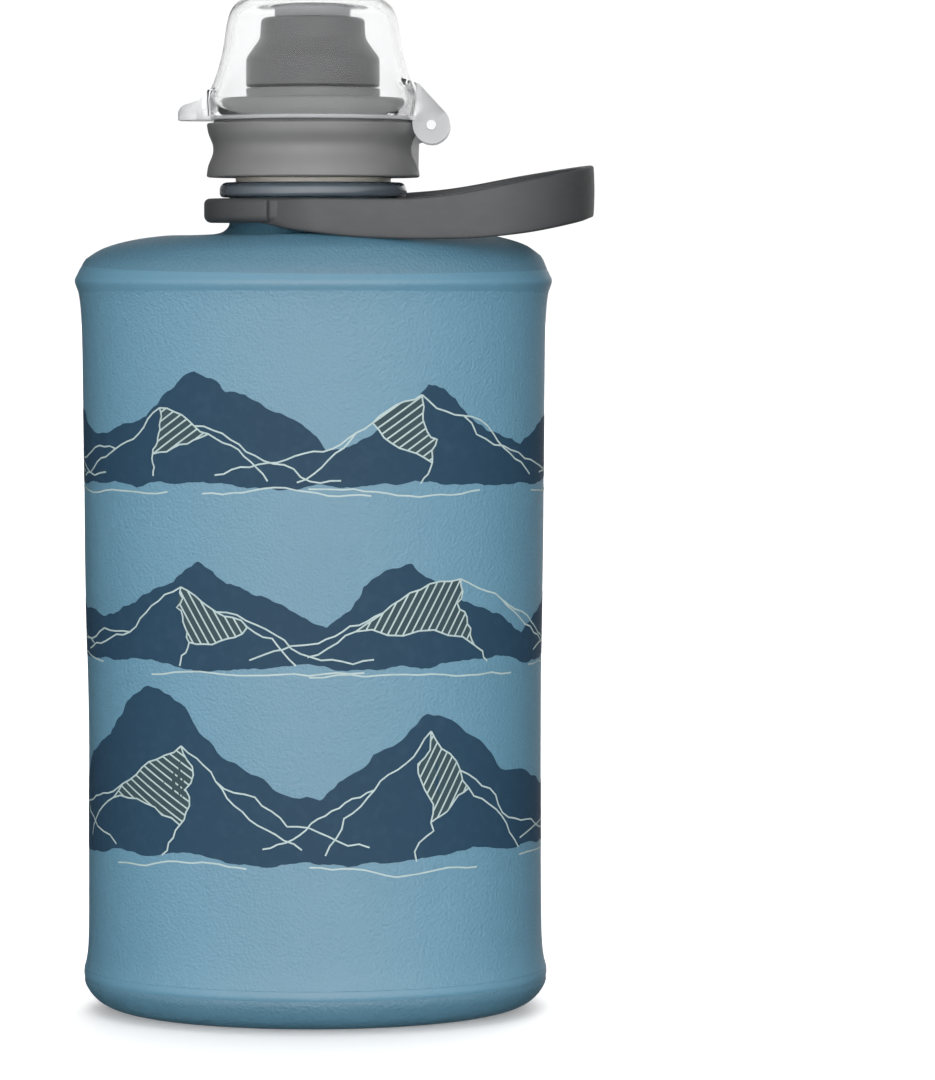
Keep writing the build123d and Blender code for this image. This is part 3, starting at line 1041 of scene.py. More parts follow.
def crossings(
    area: list[Flat], direction: Vector, spacing: float, shortest: float
) -> list[tuple[Flat, Flat]]:
    """Fills an area with parallel lines.

    Args:
        area: the area's corners in order.
        direction: unit vector along the lines.
        spacing: distance between lines.
        shortest: length under which a line is left out.

    Returns:
        The ends of each line.
    """
    across = Vector((-direction.y, direction.x))
    corners = [Vector(p) for p in area]
    depths = [c @ across for c in corners]
    lines = []
    level = min(depths) + 0.5 * spacing
    while level < max(depths):
        hits = []
        sides = zip(corners, corners[1:] + corners[:1], depths, depths[1:] + depths[:1])
        for one, two, d1, d2 in sides:
            if (d1 > level) != (d2 > level):
                hits.append((one + (two - one) * ((level - d1) / (d2 - d1))) @ direction)
        hits.sort()
        for low, high in zip(hits[::2], hits[1::2]):
            if high - low > shortest:
                one = across * level + direction * low
                two = across * level + direction * high
                lines.append(((one.x, one.y), (two.x, two.y)))
        level += spacing
    return lines


@dataclass
class Ribbon:
    """Flat printed lines laid on the wall."""

    wall: WallShape
    width: float = 0.31
    lift: float = 0.07
    step: float = 1.2

    def lay(self, bm: bmesh.types.BMesh, path: list[Flat]) -> None:
        """Adds one line.

        Args:
            bm: mesh to add to.
            path: the line's points, along the wall and up it.
        """
        fine = [Vector(path[0])]
        for one, two in zip(path, path[1:]):
            pieces = max(1, math.ceil(math.dist(one, two) / self.step))
            fine += [Vector(one).lerp(Vector(two), (k + 1) / pieces) for k in range(pieces)]
        last = len(fine) - 1
        made = bmesh.ops.create_grid(bm, x_segments=last, y_segments=1, size=1.0)["verts"]
        for v in made:
            i = round((v.co.x + 1) / 2 * last)
            ahead = fine[min(i + 1, last)] - fine[max(i - 1, 0)]
            side = Vector((-ahead.y, ahead.x)).normalized() * (self.width / 2)
            spot = fine[i] + (side if v.co.y > 0 else -side)
            v.co = self.wall.point(self.wall.turn_at(spot.x), spot.y, self.lift)


@dataclass
class RidgeBand:
    """One band of the printed landscape: dark ridges with line-drawn slopes."""

    foot: float
    height: float
    peaks: int
    seed: int
    facets: int
    valley: Flat = (0.22, 0.42)
    summit: Flat = (0.72, 1.0)
    valley_shift: Flat = (-0.08, 0.08)
    summit_shift: Flat = (0.38, 0.62)
    shore_drop: Flat = (-1.3, 1.0)
    sky_rough: float = 0.11
    shore_rough: float = 0.08

    def skyline(self, girth: float) -> list[Flat]:
        """Draws the ridges' upper edge once round the wall.

        Args:
            girth: length round the wall.

        Returns:
            The edge's points.
        """
        draw = random.Random(self.seed)
        knots: list[Flat] = []
        pitch = girth / self.peaks
        for i in range(self.peaks):
            valley = self.foot + self.height * draw.uniform(*self.valley)
            peak = self.foot + self.height * draw.uniform(*self.summit)
            knots.append((pitch * (i + draw.uniform(*self.valley_shift)), valley))
            knots.append((pitch * (i + draw.uniform(*self.summit_shift)), peak))
        knots.append((knots[0][0] + girth, knots[0][1]))
        return self._craggy(knots, self.sky_rough, draw, 5)

    def shore(self, girth: float) -> list[Flat]:
        """Draws the ridges' ragged lower edge once round the wall.

        Args:
            girth: length round the wall.

        Returns:
            The edge's points.
        """
        draw = random.Random(self.seed + 50)
        count = 4 * self.peaks
        levels = [self.foot + draw.uniform(*self.shore_drop) for _ in range(count)]
        knots = [(girth * i / count, level) for i, level in enumerate(levels)]
        knots.append((girth, knots[0][1]))
        return self._craggy(knots, self.shore_rough, draw, 4)

    def _craggy(
        self, knots: list[Flat], rough: float, draw: random.Random, levels: int
    ) -> list[Flat]:
        """Joins knots with craggy stretches.

        Args:
            knots: the line's main points.
            rough: raggedness of each stretch.
            draw: source of random numbers.
            levels: how fine it breaks up.

        Returns:
            The line's points, in order along the wall.
        """
        line: list[Flat] = []
        for one, two in zip(knots, knots[1:]):
            line += jagged(one, two, rough, draw, levels)
        return sorted([*line, knots[-1]])


@dataclass(frozen=True)
class MountainStyle:
    """Spans of the random draws behind one mountain, and the raggedness of its lines."""

    apex_shift: Flat = (0.3, 0.7)
    apex_height: Flat = (0.6, 0.88)
    reach: Flat = (0.34, 0.55)
    landing: Flat = (0.2, 2.0)
    toe_shift: Flat = (-0.12, 0.12)
    toe_height: Flat = (-1.0, 1.5)
    outreach: Flat = (0.15, 0.30)
    far_landing: Flat = (0.4, 3.0)
    facet_along: Flat = (0.4, 0.75)
    facet_down: Flat = (0.55, 0.9)
    leans: tuple[float, ...] = (-32.0, -60.0, 62.0, 35.0)
    slope_rough: float = 0.10
    spur_rough: float = 0.22
    brow_rough: float = 0.13
    hem_rough: float = 0.12


@dataclass
class PrintedRidges:
    """The landscape printed round the wall in three bands."""

    body: FilmBody
    bands: tuple[RidgeBand, ...] = (
        RidgeBand(104.4, 21.5, 5, 11, 4),
        RidgeBand(70.2, 21.0, 5, 27, 4),
        RidgeBand(33.5, 32.6, 4, 38, 4),
    )
    columns: int = 720
    rows: int = 6
    ink_lift: float = 0.04
    shade_lift: float = 0.055
    least_height: float = 0.4
    hatch_gap: float = 1.35
    hatch_least: float = 0.6
    facet_cut: float = 1.5
    style: MountainStyle = MountainStyle()
    shore_run: Flat = (24.0, 46.0)
    shore_gap: Flat = (3.0, 14.0)
    shore_depth: Flat = (0.6, 2.6)
    shore_rough: float = 0.05

    def ridges(self) -> bpy.types.Object:
        """Builds the dark ridges as thin ink on the wall.

        Returns:
            The new object.
        """
        wall = self.body.wall
        bm = bmesh.new()
        for band in self.bands:
            sky, shore = band.skyline(wall.girth), band.shore(wall.girth)
            first = sky[0][0]
            edges = []
            for k in range(self.columns):
                along = wall.girth * k / self.columns
                low = height_on(shore, along)
                high = height_on(sky, first + (along - first) % wall.girth)
                edges.append((low, max(high, low + self.least_height)))
            grid = bmesh.ops.create_grid(
                bm, x_segments=self.columns, y_segments=self.rows, size=1.0
            )["verts"]
            for v in grid:
                k = round((v.co.x + 1) / 2 * self.columns)
                low, high = edges[k % self.columns]
                z = low + (high - low) * (v.co.y + 1) / 2
                v.co = wall.point(wall.turn_at(wall.girth * k / self.columns), z, self.ink_lift)
        bmesh.ops.remove_doubles(bm, verts=bm.verts, dist=WELD_DIST)
        return self._facing_out(bm, "print_ridges")

    def _facing_out(self, bm: bmesh.types.BMesh, name: str) -> bpy.types.Object:
        """Turns every printed face outwards and finishes the piece.

        Args:
            bm: the printed mesh, which is freed.
            name: the piece's name.

        Returns:
            The new object.
        """
        bm.normal_update()
        inward = [f for f in bm.faces if f.normal.xy.dot(f.calc_center_median().xy) < 0]
        bmesh.ops.reverse_faces(bm, faces=inward)
        return finish_mesh(bm, name, recalculate=False)

    def slopes(self) -> tuple[bpy.types.Object, bpy.types.Object]:
        """Draws the pale slope lines, shore lines and hatched facets.

        Returns:
            The line piece and the facet ground piece.
        """
        wall, style = self.body.wall, self.style
        ribbon = Ribbon(wall)
        lines, grounds = bmesh.new(), bmesh.new()
        for band in self.bands:
            draw = random.Random(band.seed + 7)
            pitch = wall.girth / band.facets
            for i in range(band.facets):
                along = pitch * (i + draw.uniform(*style.apex_shift))
                apex = (along, band.foot + band.height * draw.uniform(*style.apex_height))
                self._mountain(lines, grounds, ribbon, band, apex, pitch, draw)
            self._shore_lines(lines, ribbon, band, draw)
        return self._facing_out(lines, "print_lines"), self._facing_out(grounds, "print_facets")

    def _mountain(
        self,
        lines: bmesh.types.BMesh,
        grounds: bmesh.types.BMesh,
        ribbon: Ribbon,
        band: RidgeBand,
        apex: Flat,
        pitch: float,
        draw: random.Random,
    ) -> None:
        """Draws one mountain: two slopes, a spur down its face and a hatched facet.

        Args:
            lines: mesh of the pale lines.
            grounds: mesh of the facet grounds.
            ribbon: how lines are laid.
            band: the band it belongs to.
            apex: its summit.
            pitch: room for each mountain.
            draw: source of random numbers.
        """

        def line(start: Flat, end: Flat, rough: float) -> list[Flat]:
            """One craggy line with both its ends."""
            return [*jagged(start, end, rough, draw, 4), end]

        x, foot, style = apex[0], band.foot, self.style
        left = (x - pitch * draw.uniform(*style.reach), foot + draw.uniform(*style.landing))
        right = (x + pitch * draw.uniform(*style.reach), foot + draw.uniform(*style.landing))
        toe = (x + draw.uniform(*style.toe_shift) * pitch, foot + draw.uniform(*style.toe_height))
        west = line(apex, left, style.slope_rough)
        east = line(apex, right, style.slope_rough)
        spur = line(apex, toe, style.spur_rough)
        high, out = east[len(east) // 3], draw.uniform(*style.outreach) * pitch
        foothill = (right[0] + out, foot + draw.uniform(*style.far_landing))
        back = (left[0] - out, foot + draw.uniform(*style.far_landing))
        brow = line(high, foothill, style.brow_rough)
        trail = line(west[len(west) // 2], back, style.slope_rough)
        for path in (west, east, spur, brow, trail):
            ribbon.lay(lines, path)
        slope = east if draw.random() < 0.5 else west
        far = int(len(slope) * draw.uniform(*style.facet_along))
        low = int(len(spur) * draw.uniform(*style.facet_down))
        hem = jagged(slope[far], spur[low], style.hem_rough, draw, 3)
        ribbon.lay(lines, [*hem, spur[low]])
        area = [*slope[:far], *hem, *reversed(spur[1 : low + 1])]
        lean = math.radians(draw.choice(style.leans))
        way = Vector((math.cos(lean), math.sin(lean)))
        for ends in crossings(area, way, self.hatch_gap, self.hatch_least):
            ribbon.lay(lines, list(ends))
        self._ground(grounds, area)

    def _ground(self, bm: bmesh.types.BMesh, area: list[Flat]) -> None:
        """Fills a facet with its ground colour, cut fine enough to follow the wall.

        Args:
            bm: mesh to add to.
            area: the facet's corners along and up the wall.
        """
        wall, cut = self.body.wall, self.facet_cut
        patch = bmesh.new()
        patch.faces.new([patch.verts.new((x, 0.0, z)) for x, z in area])
        low, high = min(p[0] for p in area), max(p[0] for p in area)
        bmesh.ops.triangulate(patch, faces=patch.faces)
        for k in range(1, math.ceil((high - low) / cut)):
            everything = [*patch.verts, *patch.edges, *patch.faces]
            spot = (low + cut * k, 0, 0)
            bmesh.ops.bisect_plane(patch, geom=everything, plane_co=spot, plane_no=(1, 0, 0))
        for v in patch.verts:
            v.co = wall.point(wall.turn_at(v.co.x), v.co.z, self.shade_lift)
        mesh = bpy.data.meshes.new("facet")
        patch.to_mesh(mesh)
        patch.free()
        bm.from_mesh(mesh)
        bpy.data.meshes.remove(mesh)

    def _shore_lines(
        self,
        lines: bmesh.types.BMesh,
        ribbon: Ribbon,
        band: RidgeBand,
        draw: random.Random,
    ) -> None:
        """Draws broken pale lines along the foot of a band.

        Args:
            lines: mesh of the pale lines.
            ribbon: how lines are laid.
            band: the band they belong to.
            draw: source of random numbers.
        """
        along = 0.0
        while along < self.body.wall.girth:
            run = draw.uniform(*self.shore_run)
            start = (along, band.foot - draw.uniform(*self.shore_depth))
            end = (along + run, band.foot - draw.uniform(*self.shore_depth))
            ribbon.lay(lines, [*jagged(start, end, self.shore_rough, draw, 4), end])
            along += run + draw.uniform(*self.shore_gap)

    def build(
        self, dark: bpy.types.Material, pale: bpy.types.Material, shade: bpy.types.Material
    ) -> None:
        """Builds the print and ties it to the wall.

        Args:
            dark: ink of the ridges.
            pale: ink of the lines.
            shade: ink of the facets' grounds.
        """
        lines, facets = self.slopes()
        for piece, ink in ((self.ridges(), dark), (lines, pale), (facets, shade)):
            dress(piece, ink, Slot.PRINTED_FILM)
            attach(piece, "base")
            self.body.fold(piece)
        log.info("print: ridges, lines and facets in %d bands", len(self.bands))


# ---------------------------------------------------------------- neck and strap
@dataclass
class NeckPort:
    """Rigid threaded port welded into the shoulder."""

    box: NodeBox = field(default_factory=lambda: NodeBox.of("neck_port"))
    bore: float = 11.6
    grip_r: float = 15.15
    flange_r: float = 18.1
    flange_z: float = 158.4
    flange_top: float = 161.35
    collar_r: float = 15.0
    collar_top: float = 162.3
    thread_root: float = 13.4
    thread_crest: float = 14.85
    thread_z: float = 166.4

    def build(self, material: bpy.types.Material, pale: bpy.types.Material) -> None:
        """Builds the port and ties it to the shoulder.

        Args:
            material: the port's finish.
            pale: the collar's finish.
        """
        low, high = self.box.low.z, self.box.high.z
        corners = [
            Corner(self.bore, low, 0.2),
            Corner(self.box.radius, low, 0.3),
            Corner(self.box.radius, low + 0.9, 0.3),
            Corner(self.grip_r, low + 1.1, 0.2),
            Corner(self.grip_r, self.flange_z),
            Corner(self.flange_r, self.flange_z, 0.8),
            Corner(self.flange_r, self.flange_top, 1.5),
            Corner(self.collar_r - 0.5, self.flange_top - 0.1, 0.2),
            Corner(self.collar_r - 0.7, self.collar_top, 0.2),
            Corner(self.thread_root, self.collar_top + 0.5, 0.3),
            Corner(self.thread_root, high, 0.6),
            Corner(self.bore, high, 0.4),
        ]
        bm = bmesh.new()
        lathe(bm, outline(corners))
        thread(bm, self.thread_root - SINK, self.thread_crest, (self.thread_z, 0.0))
        port = finish_mesh(bm, "neck_port_moulding")
        dress(port, material, Slot.PORT)
        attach(port, "shoulder")
        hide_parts("neck_port")
        self.collar(pale)
        log.info("neck port with its thread and collar")

    def collar(self, material: bpy.types.Material) -> None:
        """Builds the pale ring between flange and cap.

        Args:
            material: the ring's finish.
        """
        inner, low = self.collar_r - 1.2, self.flange_top - 0.3
        corners = [
            Corner(inner, low),
            Corner(self.collar_r, low),
            Corner(self.collar_r, self.collar_top, 0.35),
            Corner(inner, self.collar_top, 0.2),
        ]
        bm = bmesh.new()
        lathe(bm, outline(corners))
        ring = finish_mesh(bm, "neck_collar_ring")
        dress(ring, material, Slot.PORT)
        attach(ring, "shoulder")


@dataclass
class Strap:
    """Soft carry strap: a ring on the neck and a loop that bends beside it."""

    ring: NodeBox = field(default_factory=lambda: NodeBox.of("strap_ring"))
    loop: NodeBox = field(default_factory=lambda: NodeBox.of("strap_loop"))
    ring_in: float = 16.5
    ring_out: float = 21.1
    pad: float = 0.055
    inner: float = 21.3
    thick: float = 2.2
    bend_x: float = -7.6
    root_x: float = -9.5
    full_x: float = 2.0
    pad_run: float = 0.5
    sink: float = 4.6
    sink_curve: float = 1.7
    inner_pull: float = 1.0
    belly: float = 0.16
    twist: float = 0.75
    twist_x: float = 2.0
    twist_run: float = 16.0
    twist_low: float = 0.35
    arm_steps: int = 40
    end_steps: int = 56
    edge_steps: int = 8
    edge_round: float = 0.45
    edge_angle: float = math.radians(60)
    over: tuple[Flat, ...] = (
        (-9.5, 158.0),
        (-7.6, 158.0),
        (7, 158.3),
        (25, 159.4),
        (41.5, 162.3),
        (55.5, 164.8),
    )
    under: tuple[Flat, ...] = (
        (-9.5, 153.4),
        (-7.6, 153.2),
        (-3.5, 152.25),
        (7, 151.05),
        (18, 150.7),
        (27, 150.75),
        (33, 151.0),
        (41.5, 151.95),
        (50, 153.6),
        (55.5, 155.0),
    )

    def ring_piece(self) -> bpy.types.Object:
        """Builds the ring: rounded edges, and a thicker pad where the loop leaves it.

        Returns:
            The new object.
        """
        low, high = self.ring.low.z - 0.2, self.ring.high.z
        bm = bmesh.new()
        corners = [
            Corner(self.ring_in, low, 0.5),
            Corner(self.ring_out, low, 1.4),
            Corner(self.ring_out, high, 1.1),
            Corner(self.ring_in, high, 0.5),
        ]
        lathe(bm, outline(corners), steps=240)
        middle = (self.ring_in + self.ring_out) / 2
        for v in bm.verts:
            if v.co.xy.length > middle and v.co.x < self.bend_x:
                v.co.y *= 1 + self.pad * min((self.bend_x - v.co.x) / self.pad_run, 1.0)
        return finish_mesh(bm, "strap_neck_ring")

    def loop_piece(self) -> bpy.types.Object:
        """Builds the loop: a flat band run along one arm, round the end and back.

        Returns:
            The new object.
        """
        centre = self.loop.high.x - self.inner - self.thick
        middle = self.inner + self.thick / 2
        stride = Vector(((centre - self.root_x) / self.arm_steps, 0, 0))
        bm = bmesh.new()
        made = bmesh.ops.create_grid(bm, x_segments=2, y_segments=8, size=1.0)["verts"]
        for v in made:
            v.co = Vector((self.root_x, middle + v.co.x * self.thick / 2, (v.co.y + 1) / 2))
        front = self._extend(bm, list(bm.faces), stride)
        spun = bmesh.ops.spin(
            bm, geom=front, cent=(centre, 0, 0), axis=UP, angle=-math.pi, steps=self.end_steps
        )["geom_last"]
        turned = [g for g in spun if isinstance(g, bmesh.types.BMFace)]
        bmesh.ops.delete(bm, geom=front, context="FACES")
        self._extend(bm, turned, -stride)
        bmesh.ops.remove_doubles(bm, verts=bm.verts, dist=WELD_DIST)
        bmesh.ops.holes_fill(bm, edges=[e for e in bm.edges if e.is_boundary], sides=0)
        over = through(list(self.over), self.edge_steps)
        under = through(list(self.under), self.edge_steps)
        for v in bm.verts:
            share, x = v.co.z, v.co.x
            side = Vector((max(x - centre, 0.0), v.co.y, 0.0))
            away = min(max((side.length - middle) / (self.thick / 2), -1.0), 1.0)
            far = v.co.y / middle
            v.co += side.normalized() * away * self.belly * math.sin(math.pi * share)
            low, high = height_on(under, x), height_on(over, x)
            rise = self.twist * far * ramp(x, self.twist_x, self.twist_run)
            lean = self.twist_low + (1 - self.twist_low) * share
            v.co.z = low + (high - low) * share + rise * lean
            if x < self.full_x:
                self._tuck(v, away)
        bmesh.ops.bevel(
            bm,
            geom=[e for e in bm.edges if e.calc_face_angle(0.0) > self.edge_angle],
            affect="EDGES",
            offset=self.edge_round,
            segments=3,
            profile=0.5,
            material=-1,
            clamp_overlap=True,
        )
        return finish_mesh(bm, "strap_carry_loop")

    def _extend(
        self, bm: bmesh.types.BMesh, faces: list[bmesh.types.BMFace], stride: Vector
    ) -> list[bmesh.types.BMFace]:
        """Extrudes faces along one straight arm.

        Args:
            bm: mesh to add to.
            faces: the faces at the arm's start.
            stride: move of each extrusion.

        Returns:
            The faces at the arm's end.
        """
        for _ in range(self.arm_steps):
            grown = bmesh.ops.extrude_face_region(bm, geom=faces)["geom"]
            fresh = [g for g in grown if isinstance(g, bmesh.types.BMVert)]
            bmesh.ops.delete(bm, geom=faces, context="FACES")
            bmesh.ops.translate(bm, vec=stride, verts=fresh)
            faces = [g for g in grown if isinstance(g, bmesh.types.BMFace)]
        return faces

    def _tuck(self, v: bmesh.types.BMVert, away: float) -> None:
        """Leads the arm out from under the ring's pad.

        Args:
            v: point of the band.
            away: -1 on the band's inner face, 1 on its outer face.
        """
        share = min(max((self.full_x - v.co.x) / (self.full_x - self.bend_x), 0.0), 1.0)
        pull = self.sink * share**self.sink_curve
        if away < 0:
            pull += self.inner_pull * share
        v.co.y -= math.copysign(pull, v.co.y)

    def build(self, material: bpy.types.Material) -> None:
        """Builds the strap and ties its ring to the ring's body; the loop is left untied.

        Args:
            material: the strap's finish.
        """
        ring = self.ring_piece()
        dress(ring, material, Slot.STRAP)
        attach(ring, "strap_ring")
        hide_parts("strap_ring")
        loop = self.loop_piece()
        dress(loop, material, Slot.STRAP)
        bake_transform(loop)
        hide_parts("strap_loop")
        log.info("strap: ring and loop")


# ---------------------------------------------------------------- cap
@dataclass
class Hinge:
    """Place and sizes of the dust cover's hinge."""

    x: float = 22.9
    z: float = 172.2
    knuckle_r: float = 3.3
    knuckle_y: float = 3.6
    knuckle_round: float = 0.3


@dataclass
class ScrewCap:
    """Waisted screw cap with its inner thread and hinge bracket."""

    hinge: Hinge = field(default_factory=Hinge)
    box: NodeBox = field(default_factory=lambda: NodeBox.of("cap_shell"))
    r: float = 20.6
    waist_r: float = 18.95
    step_z: float = 172.7
    top_z: float = 177.5
    roof_z: float = 175.4
    bore_r: float = 15.5
    tube_r: float = 17.0
    collar_r: float = 12.9
    hole_r: float = 8.7
    thread_crest: float = 13.75
    thread_z: float = 164.0
    thread_angle: float = -72.0
    rim_r: float = 19.25
    groove_r: float = 17.9
    groove_z: float = 173.0

    def shell(self, bm: bmesh.types.BMesh) -> None:
        """Turns the skirt, roof, collar and inner tube.

        Args:
            bm: mesh to add to.
        """
        low, high = self.box.low.z, self.box.high.z
        corners = [
            Corner(self.r - 0.75, low, 0.25),
            Corner(self.r, low + 0.15, 0.45),
            Corner(self.r - 0.25, low + 2.2, 6.0),
            Corner(self.waist_r, low + 5.4, 9.0),
            Corner(self.r - 0.35, self.step_z - 2.0, 6.0),
            Corner(self.r - 0.05, self.step_z - 0.05, 0.35),
            Corner(self.rim_r, self.step_z, 0.12),
            Corner(self.rim_r - 0.25, self.step_z + 0.6, 0.1),
            Corner(18.1, self.top_z, 0.9),
            Corner(self.collar_r, self.top_z, 0.55),
            Corner(self.collar_r, high, 0.25),
            Corner(self.hole_r, high, 0.2),
            Corner(self.hole_r, self.roof_z),
            Corner(self.bore_r, self.roof_z, 0.3),
            Corner(self.bore_r, low, 0.35),
            Corner(self.tube_r, low, 0.35),
            Corner(self.tube_r, self.groove_z, 0.3),
            Corner(self.groove_r, self.groove_z, 0.3),
        ]
        lathe(bm, outline(corners, arc_steps=6))

    def bracket(self, bm: bmesh.types.BMesh) -> None:
        """Adds the flat rib down the skirt and the centre knuckle above it.

        Args:
            bm: mesh to add to.
        """
        hinge, low = self.hinge, self.box.low.z
        flat = [
            (18.4, low + 1.2),
            (20.3, low + 1.2),
            (20.42, hinge.z - 3.4),
            (21.2, hinge.z - 3.1),
            (hinge.x, hinge.z - 3.2),
            (hinge.x, hinge.z),
            (18.8, hinge.z + 0.3),
        ]
        y = hinge.knuckle_y
        face = bm.faces.new([bm.verts.new((x, -y, z)) for x, z in flat])
        grown = bmesh.ops.extrude_face_region(bm, geom=[face])["geom"]
        fresh = [g for g in grown if isinstance(g, bmesh.types.BMVert)]
        bmesh.ops.translate(bm, vec=(0, 2 * y, 0), verts=fresh)
        self.knuckle(bm)

    def knuckle(self, bm: bmesh.types.BMesh) -> None:
        """Adds the centre knuckle, with rounded ends.

        Args:
            bm: mesh to add to.
        """
        hinge = self.hinge
        r, y = hinge.knuckle_r, hinge.knuckle_y
        made = bmesh.ops.create_cone(
            bm, cap_ends=True, segments=64, radius1=r, radius2=r, depth=2 * y
        )["verts"]
        for v in made:
            v.co = Vector((v.co.x + hinge.x, v.co.z, v.co.y + hinge.z))
        edges = {e for v in made for e in v.link_edges}
        bmesh.ops.bevel(
            bm,
            geom=[e for e in edges if any(len(f.verts) > 4 for f in e.link_faces)],
            affect="EDGES",
            offset=hinge.knuckle_round,
            segments=4,
            profile=0.5,
            material=-1,
        )

    def build(self, material: bpy.types.Material) -> None:
        """Builds the cap and ties it to its body.

        Args:
            material: the cap's finish.
        """
        bm = bmesh.new()
        self.shell(bm)
        start = (self.thread_z, math.radians(self.thread_angle))
        thread(bm, self.bore_r + SINK, self.thread_crest, start)
        self.bracket(bm)
        cap = finish_mesh(bm, "screw_cap")
        dress(cap, material, Slot.CAP)
        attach(cap, "cap")
        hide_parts("cap_shell")
        log.info("screw cap")


@dataclass
class Spout:
    """Bell-shaped mouthpiece with its open mouth and valve seat."""

    box: NodeBox = field(default_factory=lambda: NodeBox.of("mouthpiece"))
    mouth_r: float = 9.95
    waist_r: float = 10.15
    recess_r: float = 7.8
    recess_z: float = 188.5
    seat_r: float = 2.75
    septum_z: float = 187.0
    bore_r: float = 8.8

    def build(self, material: bpy.types.Material) -> None:
        """Builds the mouthpiece and ties it to its body.

        Args:
            material: the spout's finish.
        """
        low, high = self.box.low.z, self.box.high.z
        r = self.box.radius
        corners = [
            Corner(self.bore_r, low, 0.2),
            Corner(r, low, 0.35),
            Corner(r - 0.05, low + 5.5, 2.2),
            Corner(self.waist_r, low + 9.3, 2.6),
            Corner(self.mouth_r, high, 0.95),
            Corner(self.recess_r, high, 0.5),
            Corner(self.recess_r, self.recess_z, 0.4),
            Corner(self.seat_r, self.recess_z, 0.15),
            Corner(self.seat_r, self.septum_z, 0.15),
            Corner(self.bore_r, self.septum_z, 0.3),
        ]
        bm = bmesh.new()
        lathe(bm, outline(corners, arc_steps=7))
        spout = finish_mesh(bm, "spout_mouthpiece")
        dress(spout, material, Slot.MOUTHPIECE)
        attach(spout, "spout")
        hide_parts("mouthpiece")
        log.info("spout mouthpiece")


@dataclass
class DustCover:
    """Clear domed cover with thumb tab, hinge arms and inner plug ring."""

    node: str = "dust_cover"
    weld: float = WELD_DIST

    def build(self, material: bpy.types.Material) -> None:
        """Takes the frame's moulding as one welded, smooth shell.

        Args:
            material: the cover's finish.
        """
        bm = bmesh.new()
        bm.from_mesh(frame["nodes"][self.node].data)
        bmesh.ops.scale(bm, vec=(1 / MM, 1 / MM, 1 / MM), verts=bm.verts)
        bmesh.ops.remove_doubles(bm, verts=bm.verts, dist=self.weld)
        cover = finish_mesh(bm, "clear_dust_cover", recalculate=False)
        dress(cover, material, Slot.CLEAR_COVER)
        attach(cover, "dust_cover")
        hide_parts("dust_cover")
        log.info("dust cover")


def dress_hidden_parts() -> None:
    """Gives the frame's own small parts their finishes."""
    for node, finish in (
        ("cap_gasket", SEAL_RUBBER),
        ("spout_seal", SEAL_RUBBER),
        ("spout_core", CORE_SATIN),
        ("hinge_pin", PIN_SATIN),
    ):
        dress(frame["nodes"][node], finish.make())
        log.info("%s dressed", node)


# ---------------------------------------------------------------- studio
@dataclass(frozen=True)
class Glow:
    """A soft light in the room: where it comes from, how tight it is and how strong."""

    source: Spot
    tightness: float
    strength: float


class RoomTree:
    """The room's node tree, with short ways to work on levels of light."""

    def __init__(self, name: str) -> None:
        """Starts the room and makes it the scene's.

        Args:
            name: the room's name.
        """
        self.world = bpy.data.worlds.new(name)
        bpy.context.scene.world = self.world
        self.world.use_nodes = True
        self.nodes = self.world.node_tree.nodes
        self.links = self.world.node_tree.links
        self.path = self.nodes.new("ShaderNodeLightPath").outputs
        self.way = self.nodes.new("ShaderNodeTexCoord").outputs["Generated"]

    def sum(
        self,
        operation: str,
        one: bpy.types.NodeSocket,
        two: bpy.types.NodeSocket | float,
    ) -> bpy.types.NodeSocket:
        """Works out one sum on levels of light.

        Args:
            operation: the sum's name.
            one: the first level.
            two: the second level, or a number.

        Returns:
            The result's socket.
        """
        node = self.nodes.new("ShaderNodeMath")
        node.operation = operation
        self.links.new(one, node.inputs[0])
        if isinstance(two, bpy.types.NodeSocket):
            self.links.new(two, node.inputs[1])
        else:
            node.inputs[1].default_value = two
        return node.outputs[0]

    def range(
        self,
        value: bpy.types.NodeSocket,
        given: Flat,
        result: Flat,
        curve: str = "SMOOTHSTEP",
    ) -> bpy.types.NodeSocket:
        """Maps a range of a level to another.

        Args:
            value: the level.
            given: its lowest and highest value.
            result: what they become.
            curve: how it runs between them.

        Returns:
            The result's socket.
        """
        node = self.nodes.new("ShaderNodeMapRange")
        node.interpolation_type = curve
        self.links.new(value, node.inputs["Value"])
        for name, number in zip(RANGE_INPUTS, (*given, *result)):
            node.inputs[name].default_value = number
        return node.outputs["Result"]

    def choose(
        self,
        factor: bpy.types.NodeSocket,
        one: bpy.types.NodeSocket,
        two: bpy.types.NodeSocket,
    ) -> bpy.types.NodeSocket:
        """Picks between two levels of light by a factor.

        Args:
            factor: 0 for the first level, 1 for the second.
            one: the first level.
            two: the second level.

        Returns:
            The chosen level's socket.
        """
        mix = self.nodes.new("ShaderNodeMix")
        for source, target in zip((factor, one, two), (0, *MIX_LEVELS)):
            self.links.new(source, mix.inputs[target])
        return mix.outputs[MIX_LEVEL_OUT]

    def glow(self, light: Glow) -> bpy.types.NodeSocket:
        """Works out how much of one light comes from the way looked.

        Args:
            light: the light.

        Returns:
            The level's socket.
        """
        facing = self.nodes.new("ShaderNodeVectorMath")
        facing.operation = "DOT_PRODUCT"
        facing.inputs[1].default_value = Vector(light.source).normalized()
        self.links.new(self.way, facing.inputs[0])
        ahead = self.range(facing.outputs["Value"], (-1.0, 1.0), (0.0, 1.0), "LINEAR")
        return self.sum("MULTIPLY", self.sum("POWER", ahead, light.tightness), light.strength)


